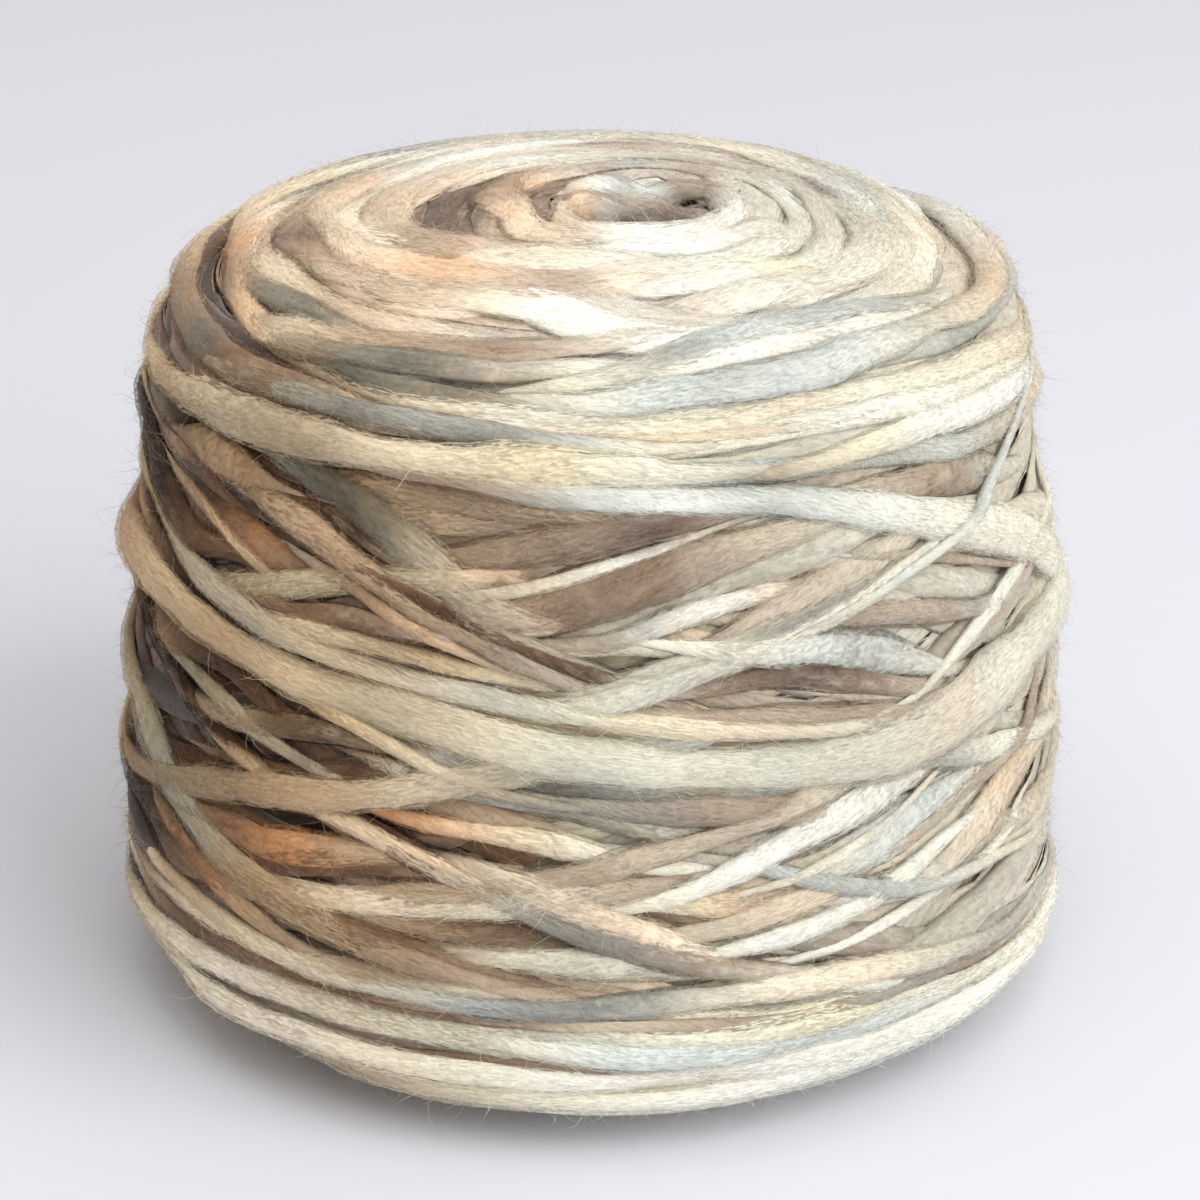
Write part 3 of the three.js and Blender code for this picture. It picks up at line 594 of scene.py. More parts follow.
# The regular layers that lie under the listed wraps. The winder turns each wrap on from the last
# by the same angle, so that their loops cross in lozenges, and climbs up the band meanwhile.
TURN_ON = 137.5                # degrees from the crest of one wrap to that of the next
LAYER_TURN = 31                # degrees for each letter of a layer's name, so that layers differ
LAYER_PLACES = np.linspace(-170, 130, 6)
SHADE_FROM, SHADE_TO = -120, -40             # azimuths between which the deep wraps take brown runs as painted shade
WIDTH_VARIES = 0.25
Layer = namedtuple("Layer", "name wraps level spread climb width")
LAYERS = [
    Layer("side_deep", 13, 0, 12, 26, 5.4),
    Layer("side_mid", 13, 0, 14, 30, 5.0),
    Layer("foot_deep", 6, -51, 13, 5, 5.6),
    Layer("shoulder_deep", 6, 50, 11, 6, 5.4),
    Layer("top_deep", 6, 72, 12, 4, 5.4),
    Layer("side_high", 11, 0, 18, 22, 4.4),
    Layer("foot_high", 6, -52, 14, 4, 5.2),
    Layer("shoulder_high", 6, 51, 12, 7, 4.8),
    Layer("top_high", 9, 74, 14, 5, 4.8),
    Layer("under_ring", 7, -78, 18, 3.5, 5.4),
    Layer("under_ring_high", 6, -76, 18, 4.5, 4.8),
    Layer("funnel", 8, 104, 13, 3, 4.4),
    Layer("funnel_high", 8, 102, 13, 5, 4.0),
]

STATIONS = 720                 # places round the cake at which each wrap's course is worked out
ROUND = np.arange(STATIONS) * 360 / STATIONS - 180
random = np.random.default_rng(20)


def smooth_round(values, reach):
    """values blurred round the cake by a Gaussian of so many stations, without a seam."""
    frequency = np.fft.rfftfreq(len(values))
    kernel = np.exp(-2 * (np.pi * frequency * reach) ** 2)
    shape = (-1,) + (1,) * (np.ndim(values) - 1)
    return np.fft.irfft(np.fft.rfft(values, axis=0) * kernel.reshape(shape), len(values), axis=0)


def wander(reach, strength):
    """A seamless random curve round the cake, blurred by so many stations."""
    curve = smooth_round(random.standard_normal(STATIONS), reach)
    return strength * curve / curve.std()


LOOP_HOLD = 0.02               # how strongly a loop with few places is held level
MOST_CLIMB, LEAST_CLIMB = 26, 6              # mm: on the side, and on the top or under the foot


def tilted_loop(places, levels):
    """The loop middle + climb cos(azimuth - crest) that fits the listed places best, as its middle,
    cosine part and sine part, and what is left at each place."""
    turn = np.radians(places)
    loop = np.stack([np.ones_like(turn), np.cos(turn), np.sin(turn)], axis=1)
    hold = np.diag([0, LOOP_HOLD, LOOP_HOLD]) * len(places)
    middle, cos_part, sin_part = np.linalg.solve(loop.T @ loop + hold, loop.T @ levels)
    climb = math.hypot(cos_part, sin_part)
    most = max(MOST_CLIMB * smooth_step(abs(middle), 60, 20), LEAST_CLIMB)
    if climb > most:
        cos_part, sin_part = cos_part * most / climb, sin_part * most / climb
        middle = (levels - loop[:, 1] * cos_part - loop[:, 2] * sin_part).mean()
    return middle, cos_part, sin_part, levels - loop @ [middle, cos_part, sin_part]


UNROLL_BEFORE = 60             # degrees before a wrap's first listed place at which it is unrolled
USUAL_WIDTH = 4.6              # no wrap stays wider than this away from its listed places
WIDTH_BLUR = 6
# how many degrees past its listed places a wrap keeps something of its level, width and slack
LEVEL_FADE, WIDTH_FADE, SLACK_FADE, DIVE_TURN = 40, 25, 15, 22
OPEN_END = 64                  # a wrap listed past this azimuth goes on round the side
FIRST_RISE, RISE_SPREAD, RISE_TURN = 80, 50, 20    # where the others come up again, in degrees
STIR_LEFT, STIR_RIGHT = 7.3, 4.7             # they make a fraction of a wrap's own from its level


def course_of(wrap):
    """The wrap's level, width, how far it shows, and slack at every station. The level is that of
    the tilted loop plus what is left at the listed places, which fades out beyond them, and
    wanders a little. In front a wrap shows only between its listed places."""
    places = np.array(wrap.azimuths)
    middle, cos_part, sin_part, left = tilted_loop(places, np.array(wrap.levels))
    # the listed places may pass the back, so they are unrolled from their own first one
    first = places[0] - UNROLL_BEFORE
    unrolled = (ROUND - first) % 360 + first
    beyond = np.maximum(np.maximum(places[0] - unrolled, unrolled - places[-1]), 0)
    level = (middle + cos_part * np.cos(np.radians(ROUND)) + sin_part * np.sin(np.radians(ROUND))
             + np.interp(unrolled, places, left) * (1 - smooth_step(beyond, 0, LEVEL_FADE)))
    restless = 0.35 + 0.5 * smooth_step(middle, 50, 65)
    level = (smooth_round(level, reach=3) + wander(reach=28, strength=restless)
             + wander(reach=10, strength=0.12))
    usual_part = smooth_step(beyond, 0, WIDTH_FADE)
    width = np.interp(unrolled, places, wrap.widths)
    width = width * (1 - usual_part) + np.minimum(width, USUAL_WIDTH) * usual_part
    width = smooth_round(width, WIDTH_BLUR)
    width *= 1 + wander(reach=16, strength=0.13) + wander(reach=6, strength=0.06)
    # behind, each wrap comes up again at a place of its own, so that the ends make no seam
    own_place = np.where(ROUND < 0, (STIR_LEFT * middle) % 1, (STIR_RIGHT * middle) % 1)
    rise = FIRST_RISE + RISE_SPREAD * own_place
    in_front = 1 - smooth_step(np.abs(ROUND) - rise, 0, RISE_TURN)
    before = np.maximum(places[0] - ROUND, 0) * (places[0] >= -OPEN_END)
    after = np.maximum(ROUND - places[-1], 0) * (places[-1] <= OPEN_END)
    hidden = smooth_step(np.maximum(before, after), 0, DIVE_TURN) * in_front
    slack = np.interp(unrolled, places, wrap.slacks)
    slack = smooth_round(slack * (1 - smooth_step(beyond, 0, SLACK_FADE)), WIDTH_BLUR)
    return level, width, np.clip(1 - smooth_round(hidden, reach=2), 0, 1), slack


RUN_TURN = 16                  # degrees to a run of dye away from the listed places
DYE_BLUR = 5


def runs_of(wrap, usual):
    """The wrap's colour at every station: its listed hues, and runs picked at random elsewhere,
    faded into each other."""
    places = np.array(wrap.azimuths)
    gap = 360 - (places[-1] - places[0])
    extra = max(int(gap / RUN_TURN), 1)
    steps = places[-1] + gap * (np.arange(extra) + 0.8) / (extra + 0.6)
    more = [usual[random.integers(len(usual))] for _ in steps]
    where = np.concatenate([places, steps])
    what = np.array([HUES[hue] for hue in (*wrap.hues, *more)])
    unrolled = (ROUND - where[0]) % 360 + where[0]
    where, what = np.append(where, where[0] + 360), np.append(what, what[:1], axis=0)
    colour = np.stack([np.interp(unrolled, where, channel) for channel in what.T], axis=1)
    return smooth_round(colour, DYE_BLUR)


def random_runs(usual, count):
    """A colour at every station from so many runs picked at random, faded into each other."""
    bounds = np.sort(random.choice(STATIONS, count, replace=False))
    picks = np.array([HUES[usual[random.integers(len(usual))]] for _ in bounds])
    return smooth_round(picks[np.searchsorted(bounds, np.arange(STATIONS)) % count], DYE_BLUR)


def regular_wrap(layer, turn):
    """A loop of a layer, listed at six places round it, with widths and hues picked at random."""
    share = (turn + 0.5) / layer.wraps
    crest = turn * TURN_ON + len(layer.name) * LAYER_TURN
    azimuths = LAYER_PLACES
    middle = layer.level + layer.spread * (2 * share - 1)
    levels = [middle + layer.climb * math.cos(math.radians(a - crest)) for a in azimuths]
    widths = layer.width * random.uniform(1 - WIDTH_VARIES, 1 + WIDTH_VARIES, len(azimuths))
    # painted shade: on the left the deep wraps take the dark runs
    hues = [random.choice(DEEP_LEFT_SHADE_RUNS if SHADE_FROM < a < SHADE_TO else DEEP_RUNS)
            for a in azimuths]
    return Wrap(azimuths, levels, widths, hues, np.zeros(len(azimuths)))


LEVEL_STEP = 0.3               # mm between two rows of the heights
heights = np.zeros((int((HIGHEST_LEVEL - LOWEST_LEVEL) / LEVEL_STEP) + 2, STATIONS))


def cell(azimuth, level):
    """The heights' row and column, as fractions, at an azimuth and a level."""
    row = np.clip((level - LOWEST_LEVEL) / LEVEL_STEP, 0, len(heights) - 1.001)
    return row, (azimuth + 180) % 360 * STATIONS / 360


def height_at(field, azimuth, level):
    """A field over azimuth and level, read between its cells."""
    row, column = cell(azimuth, level)
    row0, column0 = row.astype(int), column.astype(int) % STATIONS
    row1, column1 = row0 + 1, (column0 + 1) % STATIONS
    down, aside = row - row0, column - np.floor(column)
    return ((field[row0, column0] * (1 - aside) + field[row0, column1] * aside) * (1 - down)
            + (field[row1, column0] * (1 - aside) + field[row1, column1] * aside) * down)


def radius_at(level):
    """The form's radius in mm at a level, and no less than 4 mm."""
    return np.maximum(np.interp(level, OUTLINE[0], OUTLINE[1]), 4)


def beside(azimuth, level, lean, side):
    """The azimuths and levels at distances to the side of a wrap's middle line, square to it."""
    lean = lean[:, None]
    turned = np.degrees(side * np.sin(lean) / radius_at(level)[:, None])
    return azimuth[:, None] - turned, level[:, None] + side * np.cos(lean)


THICKNESS, FLATTER = 0.70, 0.75              # in mm at 1 mm wide, and the power of the width
TOP_FLATTER = 0.35


def thickness_of(width, level):
    """A wrap's thickness in mm: THICKNESS width^FLATTER, and less by TOP_FLATTER of it on the top,
    where wraps lie slack."""
    return THICKNESS * width ** FLATTER * (1 - TOP_FLATTER * smooth_step(level, 44, 62))


DEEP_SHADE = 0.85              # painted shade: the deep wraps, which lie under the others, are darkened to this share
# Painted light and shade by side: the left, away from the window, is painted browner and deeper; the
# right, where the window light falls, is painted duller and paler; the top and the foot, lit from above
# and by the floor, are painted lighter and the top paler.
LEFT_DEEPER, PALER, RIGHT_PALER = 0.35, 0.4, 0.75
FOOT_LIGHTER, TOP_LIGHTER = 0.12, 0.06
LEFT_SHADE = np.array([1.04, 0.84, 0.67])     # what each side leaves of a hue, and how much less
RIGHT_DIMMING = np.array([0.82, 0.815, 0.775])  # it takes away higher up and towards the foot
LEFT_LESS_HIGH, LEFT_LESS_LOW, RIGHT_LESS_HIGH = 0.4, 0.6, 0.45


def painted_light_by_side(level, shade):
    """What the dye of a wrap is multiplied by and what power of it is taken, at every station: painted
    light and shade. It is painted browner and stronger on the left, the side away from the window,
    duller and paler on the right, where the window light falls, and lighter and paler on the top, lit
    from above, and lighter at the foot, lit from the floor."""
    left, right = side_share(ROUND, LEFT_SIDE), side_share(ROUND, RIGHT_SIDE)
    on_top, at_foot = smooth_step(level, 46, 62), smooth_step(-level, 14, 34)
    left_shading = (left * (1 - LEFT_LESS_HIGH * smooth_step(level, 30, 48))
               * (1 - LEFT_LESS_LOW * smooth_step(-level, 18, 34)))
    right_dimming = right * (1 - RIGHT_LESS_HIGH * smooth_step(level, 40, 56))
    painted_light = shade * (1 - left_shading[:, None] * (1 - LEFT_SHADE))
    painted_light = painted_light * (1 + FOOT_LIGHTER * at_foot + TOP_LIGHTER * on_top)[:, None]
    painted_light = painted_light * (1 - right_dimming[:, None] * (1 - RIGHT_DIMMING))
    paler_where_lit = 1 + LEFT_DEEPER * left_shading - PALER * np.maximum(on_top, RIGHT_PALER * right)
    return painted_light, paler_where_lit[:, None]


SQUASH = 0.55                  # the share of its thickness that a wrap adds to what it lies on
ON_HIGHEST = 0.4               # how far it rides on the highest of that and not on the mean
BRIDGED, SMOOTHED = 6, 2       # mm along a wrap over which its back is pulled straight
SAG, MOST_SAG, MOST_LIFT = 0.4, 0.5, 0.25    # of its edges; the last two in thicknesses
DIVE_DEPTH, DIVE_POWER = 4.0, 2.2            # how far it goes down where others hide it
TAPER, TAPER_POWER = 0.12, 1.6               # what is left of its width there
ACROSS = np.linspace(-1, 1, 9)               # places across a wrap, as shares of half its width
FINE_ACROSS = np.linspace(-1, 1, 41)
# the accent is the dye of so many mm ahead, with this share of as many random runs mixed in
ACCENT_AHEAD, ACCENT_SHARE, ACCENT_RUNS = 12, 0.38, 48
LUMPS = 0.12                   # how uneven a narrow wrap's section is, as a share of its size
LUMP_REACH = 1.75              # mm along it
LUMP_SIDES = 10                # lumps round its section
lump_random = np.random.default_rng(31)
Laid = namedtuple("Laid", "level width top drape lean step dye accent slack lumps")


def lay(wrap, usual, shade):
    """Lays a wrap on the heights. The wool is pulled tight, so its back follows what it lies on,
    blurred along it, and bridges the hollows. Its edges sag towards what is under them. The
    heights then rise to its back, a half ellipse across its width."""
    level, width, shown, slack = course_of(wrap)
    climb = np.gradient(level) * STATIONS / (2 * np.pi) / radius_at(level)
    climb[[0, -1]] = climb[[1, -2]]
    lean = np.arctan(climb)
    step = 2 * np.pi * radius_at(level) / STATIONS / np.cos(lean)
    width = width * (TAPER + (1 - TAPER) * shown ** TAPER_POWER)
    support = height_at(heights, *beside(ROUND, level, lean, width[:, None] / 2 * ACROSS))
    inner = support[:, 1:-1]
    under = (1 - ON_HIGHEST) * inner.mean(1) + ON_HIGHEST * inner.max(1)
    thick = thickness_of(width, level)
    raw = under + SQUASH * thick
    per_mm = 1 / step.mean()
    bridged = smooth_round(raw, BRIDGED * per_mm)
    top = smooth_round(np.maximum(raw, bridged), SMOOTHED * per_mm)
    top = top - DIVE_DEPTH * (1 - shown) ** DIVE_POWER
    drape = smooth_round(support - support[:, 4:5], SMOOTHED * per_mm)
    drape = np.clip(SAG * drape, -MOST_SAG * thick[:, None], MOST_LIFT * thick[:, None])
    back = (top[:, None] - thick[:, None] / 2 * (1 - np.sqrt(1 - FINE_ACROSS ** 2))
            + np.stack([np.interp(FINE_ACROSS, ACROSS, d) for d in drape]))
    row, column = cell(*beside(ROUND, level, lean, width[:, None] / 2 * FINE_ACROSS))
    np.maximum.at(heights, (np.rint(row).astype(int), np.rint(column).astype(int) % STATIONS), back)
    dye = runs_of(wrap, usual)
    ahead = np.roll(dye, -int(ACCENT_AHEAD * per_mm), axis=0)
    accent = ahead ** (1 - ACCENT_SHARE) * random_runs(usual, ACCENT_RUNS) ** ACCENT_SHARE
    # painted light and shade by side, on the dye and on the accent
    painted_light, paler_where_lit = painted_light_by_side(level, shade)
    lumps = smooth_round(lump_random.standard_normal((STATIONS, LUMP_SIDES)), LUMP_REACH * per_mm)
    return Laid(level, width, top, drape, lean, step, painted_light * dye ** paler_where_lit,
                painted_light * accent ** paler_where_lit, slack, LUMPS * lumps / lumps.std())


laid_layers = {layer.name: [lay(regular_wrap(layer, turn), DEEP_RUNS, DEEP_SHADE)
                            for turn in range(layer.wraps)] for layer in LAYERS}
TOP_WIDER = 1.3                # the slack wraps on the top spread
spread_wraps = [wrap._replace(widths=TOP_WIDER * np.array(wrap.widths)) for wrap in TOP_WRAPS]
laid_top, laid_side, laid_band, laid_shoulder = (
    [lay(wrap, USUAL_RUNS, 1) for wrap in wraps]
    for wraps in (spread_wraps, SIDE_WRAPS, BAND_WRAPS, SHOULDER_WRAPS))


def blurred(field, reach_columns, reach_rows):
    """A field blurred by a Gaussian, round the cake without a seam and mirrored at both ends."""
    mirrored = np.concatenate([field[::-1], field, field[::-1]])
    tall = smooth_round(mirrored, reach_rows)[len(field):2 * len(field)]
    return smooth_round(tall.T, reach_columns).T


# The stack of wraps is brought back to the wound form: what is left are the wraps' own bumps.
GENERAL_REACH = (38, 45)       # columns and rows of the heights
AROUND_REACH = (5, 8)
PROUD = 0.2                    # mm by which the wraps stand past the form on the whole
MOST_PROUD, MOST_DEEP = 1.2, 1.8
TOP_PRESSED = 0.5
general = blurred(np.maximum(heights, blurred(heights, *GENERAL_REACH)), *GENERAL_REACH)


def pressed(height, level):
    """A height over the form, most tanh(height / most) with MOST_PROUD or MOST_DEEP for most, as
    soft wool is pulled flat and fills its gaps. On the top it is less, by TOP_PRESSED of it."""
    most = np.where(height > 0, MOST_PROUD, MOST_DEEP)
    return most * np.tanh(height / most) * (1 - TOP_PRESSED * smooth_step(level, 48, 62))


surface = pressed(heights - general + PROUD,
                  LOWEST_LEVEL + LEVEL_STEP * np.arange(len(heights))[:, None])
around_it = blurred(surface, *AROUND_REACH)
SHADED = np.array([0.82, 0.73, 0.62])        # what is left of the dye at the bottom of a gap
SHADED_LEFT = np.array([0.27, 0.18, 0.125])
GAP_START, GAP_DEPTH = -0.3, 1.9             # mm below what is around it
SOFTER_TOP, SOFTER_RIGHT = 0.85, 0.8         # how much of that shade is missing there


def in_shade(azimuth, level, height):
    """What is left of the dye where wool lies lower than what is around it: nearly all of it at
    the same height, SHADED or SHADED_LEFT of it from GAP_DEPTH below that, and more of it than
    that on the top and the right."""
    lower = height_at(around_it, azimuth, level) - height
    deep = smooth_step(lower, GAP_START, GAP_DEPTH)[..., None]
    left = side_share(azimuth, LEFT_SIDE)[..., None]
    kept = SHADED * (1 - left) + SHADED_LEFT * left
    softer = np.maximum(SOFTER_TOP * smooth_step(level, 44, 60),
                        SOFTER_RIGHT * side_share(azimuth, RIGHT_SIDE))
    kept = kept + (1 - kept) * softer[..., None]
    return 1 - deep * (1 - kept)


TWIST, LEAST_TWISTED = 0.3, 1.4              # so many mm wide, wool has TWIST / width^2 turns a mm
FULL_TURN = 70                 # mm along a wrap in which its lobes turn once
FEWEST_PLACES = 24             # along a wrap
LOBES = 0.07                   # how far its three lobes stand out, as a share of its size
EDGE_CLOSER = 0.45             # how strongly the points of a section crowd to its edges
GIRTH = 0.85                   # a section's way round, as a share of a circle's
SOFT_BACK = 1.35               # above 1, a wrap's edges are thinner than an ellipse's
LUMPY_WIDTH = 3                # mm; a wider wrap has smaller lumps
SWELL_WIDTH = 5                # mm; a narrower wrap swells less
SLACK_UNDER = 0.6              # the share of a wrap's slack by which its inner side stands off
NEAR_FLOOR, FLOOR_BLEND = 2, 0.6             # mm: where a wrap eases off the floor, how softly
BARE_WITHIN = 0.6              # mm under the surface down to which loose fibres grow


def section_of(laid_lumps, bare_width, twist, sides):
    """A wrap's section at each of its places: how far each point is across and up, where 1 is half
    its width or thickness. It is an ellipse with a soft back, three lobes that turn with the
    twist, and lumps. The angle goes from the inner side over one edge, the back and the other."""
    share_round = np.arange(sides) / sides
    angle = 2 * np.pi * share_round + EDGE_CLOSER * np.sin(2 * np.pi * share_round)
    lump = share_round * LUMP_SIDES
    first = np.floor(lump).astype(int)
    lumps = (laid_lumps[:, first] * (1 - lump + first)
             + laid_lumps[:, (first + 1) % LUMP_SIDES] * (lump - first))
    lumps = lumps * np.minimum(LUMPY_WIDTH / np.maximum(bare_width, 1), 1)[:, None]
    size = 1 + LOBES * np.cos(3 * angle + 3 * twist[:, None]) + lumps
    up = -np.cos(angle)
    up = np.where(up > 0, np.maximum(up, 0) ** SOFT_BACK, up) * size
    return -np.sin(angle) * size, up


def tube_of(laid, sides, spacing, swell):
    """A closed loop of wool, as a grid of places by angles. Gives its points, its two colours, the
    values of the fibre map, and where it is bare. swell makes it stand off the wrap by so many
    mm on its back and sides, less on a narrow one."""
    length = laid.step.sum()
    count = max(int(length / spacing), FEWEST_PLACES)
    place = np.arange(count) / count * STATIONS
    before = np.floor(place).astype(int) % STATIONS
    after, share = (before + 1) % STATIONS, (place - np.floor(place))

    def between(values):
        part = share.reshape((-1,) + (1,) * (values.ndim - 1))
        return values[before] * (1 - part) + values[after] * part

    level, bare_width = between(laid.level), between(laid.width)
    swell = swell * smooth_step(bare_width, 0, SWELL_WIDTH)
    width, thick = bare_width + 2 * swell, thickness_of(bare_width, level)
    along = np.append(0, np.cumsum(between(laid.step)))[:-1] * STATIONS / count
    twist = 2 * np.pi * max(round(length / FULL_TURN), 1) * np.arange(count) / count
    turned = TWIST / np.maximum(bare_width, LEAST_TWISTED) ** 2
    turned = np.append(0, np.cumsum(turned))[:-1] * length / count
    across, up = section_of(between(laid.lumps), bare_width, twist, sides)
    azimuth_at, level_at = beside(place * 360 / STATIONS - 180, level, between(laid.lean),
                                  width[:, None] / 2 * across)
    slot = (np.clip(across, -1, 1) + 1) * (len(ACROSS) - 1) / 2
    slot0 = np.minimum(slot.astype(int), len(ACROSS) - 2)
    rows, drape = np.arange(count)[:, None], between(laid.drape)
    sag = drape[rows, slot0] * (1 - slot + slot0) + drape[rows, slot0 + 1] * (slot - slot0)
    shift = height_at(general, azimuth_at, level_at) - PROUD
    raised = between(laid.top)[:, None] - shift - thick[:, None] / 2 * (1 - up) + sag
    slack = between(laid.slack)[:, None] * (SLACK_UNDER + (1 - SLACK_UNDER) * up)
    height = pressed(raised, level_at) + slack + swell[:, None] * up
    points = on_form(azimuth_at, level_at, height)
    low = points[..., 2] / MM
    off_floor = (low + np.sqrt(low ** 2 + FLOOR_BLEND ** 2)) / 2
    points[..., 2] = MM * np.where(low < NEAR_FLOOR, off_floor, low)
    girth = np.pi * width.mean() * GIRTH
    bare = height > height_at(surface, azimuth_at, level_at) - BARE_WITHIN
    shade = in_shade(azimuth_at, level_at, height)
    # the dye and the accent, times the painted shade of the gaps
    dye, accent = between(laid.dye)[:, None] * shade, between(laid.accent)[:, None] * shade
    return points, dye, accent, (along, length, girth, turned), bare


OWN_FIBRES = 411.3             # mm from one wrap's fibres to the next one's in their noise
END_MARGIN, SIDE_MARGIN = 0.004, 0.06        # round a strip, as shares of its length and height


def maps_of(number, of_all, count, around, along, length, girth, turned):
    """The two maps of one tube of a piece, at each corner of each face. The map called fibre runs
    along and round the wrap, in millimetres, turned by its twist. The map called OFBake lays the
    wraps out as strips, one above the other."""
    place, angle = np.arange(count)[:, None], np.arange(around)[None, :]
    along_end, turned_end = np.append(along, length), np.append(turned, turned[-1])
    fibre, strip = [], []
    for p, a in ((0, 0), (1, 0), (1, 1), (0, 1)):
        place_at, angle_at = place + p + 0 * angle, angle + a + 0 * place
        fibre.append(np.stack([along_end[place_at] + OWN_FIBRES * number,
                               (angle_at / around + turned_end[place_at]) * girth], axis=-1))
        along_strip = END_MARGIN + (1 - 2 * END_MARGIN) * place_at / count
        up_strip = SIDE_MARGIN + (1 - 2 * SIDE_MARGIN) * angle_at / around
        strip.append(np.stack([along_strip, (number + up_strip) / of_all], axis=-1))
    return [np.stack(corners, axis=2).reshape(-1, 2) for corners in (fibre, strip)]


WIDE_WRAP = 2.6                # a wrap narrower than this has two sides fewer
roots = []                     # where loose fibres can start: see wool_piece


def wool_piece(name, laid_wraps, sides, spacing, material, swell=0):
    """The joined tubes of a group of wraps. Where a wrap is bare, roots takes its points, each with
    the steps to its neighbours along and round the tube, and its colour."""
    points, faces, shaded_dyes, shaded_accents, fibres, strips = [], [], [], [], [], []
    start = 0
    for number, laid in enumerate(laid_wraps):
        around = sides if laid.width.mean() > WIDE_WRAP else sides - 2
        grid, dye, accent, fibre_values, bare = tube_of(laid, around, spacing, swell)
        if not swell:
            steps = [np.roll(grid, -1, axis=axis) - grid for axis in (0, 1)]
            roots.append(np.concatenate([grid, *steps, dye], axis=-1)[bare])
        count = len(grid)
        corner = start + np.arange(count * around).reshape(count, around)
        ahead = np.roll(corner, -1, axis=0)
        square = (corner, ahead, np.roll(ahead, -1, axis=1), np.roll(corner, -1, axis=1))
        faces.append(np.stack(square, axis=-1).reshape(-1, 4))
        fibre, strip = maps_of(number, len(laid_wraps), count, around, *fibre_values)
        fibres.append(fibre)
        strips.append(strip)
        points.append(grid.reshape(-1, 3))
        shaded_dyes.append(dye.reshape(-1, 3))
        shaded_accents.append(accent.reshape(-1, 3))
        start += count * around
    piece = mesh_of(name, np.concatenate(points), np.concatenate(faces),
                    maps=[("fibre", np.concatenate(fibres)), ("OFBake", np.concatenate(strips))],
                    colours=[("dye", np.concatenate(shaded_dyes)), ("accent", np.concatenate(shaded_accents))])
    piece.data.materials.append(material)
    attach(piece, "root")


def streaks(tree, fibre, along, around, slant, detail, roughness, distortion):
    """A noise along the fibre map, of so many lengths a mm along a wrap and so many around it,
    turned by a slant in degrees."""
    stretched = add_node(tree, "Mapping", {
        "Vector": fibre,
        "Rotation": (0, 0, math.radians(slant)),
        "Scale": (1 / along, 1 / around, 1),
    }, vector_type="TEXTURE")["Vector"]
    return add_node(tree, "TexNoise", {"Vector": stretched, "Scale": 1, "Detail": detail,
                                       "Roughness": roughness, "Distortion": distortion})["Fac"]


def spread(tree, value, low, high, to_low, to_high):
    """A smooth step of a value between low and high, from to_low to to_high."""
    return add_node(tree, "MapRange", {
        "Value": value, "From Min": low, "From Max": high, "To Min": to_low, "To Max": to_high,
    }, interpolation_type="SMOOTHSTEP")["Result"]


def joined(tree, operation, first, second):
    """The sum or the product of two values."""
    return add_node(tree, "Math", {0: first, 1: second}, operation=operation)["Value"]


def wool_material():
    """Dyed wool: the two colours of each place, dye with painted light and shade, mixed in long
    streaks, lighter and darker fibres over them, and the same fibres as fine ridges."""
    material, tree, shader = new_material("dyed_wool", roughness=0.95, specular=0.15)
    shader.inputs["Sheen Weight"].default_value = 0.4
    shader.inputs["Sheen Roughness"].default_value = 0.45
    shader.inputs["Sheen Tint"].default_value = (1, 0.96, 0.9, 1)
    fibre = add_node(tree, "UVMap", {}, uv_map="fibre")["UV"]
    broad, mottle, fine, crossing = (
        streaks(tree, fibre, along, around, slant, detail, roughness=0.65, distortion=0.5)
        for along, around, slant, detail in (
            (0.11, 0.45, 4, 3), (0.5, 0.9, 0, 2), (0.22, 1.8, -5, 4), (1.9, 3.4, 18, 3)))
    mixed = add_node(tree, "Mix", {
        "Factor": spread(tree, broad, 0.32, 0.68, 0, 0.9),
        6: colour_of(tree, "dye"),
        7: colour_of(tree, "accent"),
    }, data_type="RGBA")[2]
    hairs = joined(tree, "MULTIPLY", spread(tree, fine, 0.28, 0.72, 0.93, 1.05),
                   spread(tree, crossing, 0.28, 0.72, 0.92, 1.06))
    uneven = joined(tree, "MULTIPLY", hairs, spread(tree, mottle, 0.3, 0.7, 0.8, 1.1))
    tree.links.new(scaled(tree, mixed, uneven), shader.inputs["Base Color"])
    ridge = joined(tree, "ADD", mottle, crossing)
    bump = add_node(tree, "Bump", {"Strength": 0.2, "Distance": 0.0006, "Height": ridge})["Normal"]
    tree.links.new(bump, shader.inputs["Normal"])
    return material


def fuzz_material():
    """Loose surface hair: short strokes of the wrap's dye and painted shade with open air between them,
    where a noise stretched along the wrap is high. The strokes are painted lightest in their middle and
    darker at their flanks, as painted shading."""
    material, tree, shader = new_material("wool_fuzz", roughness=0.95, specular=0.1)
    fibre = add_node(tree, "UVMap", {}, uv_map="fibre")["UV"]
    noise = streaks(tree, fibre, 0.6, 4.2, slant=8, detail=1, roughness=0.5, distortion=1)
    tree.links.new(spread(tree, noise, 0.34, 0.66, 0.1, 0.6), shader.inputs["Alpha"])
    stroke_shading = spread(tree, noise, 0.42, 0.7, 0.88, 1.1)
    tree.links.new(scaled(tree, colour_of(tree, "dye"), stroke_shading), shader.inputs["Base Color"])
    return material


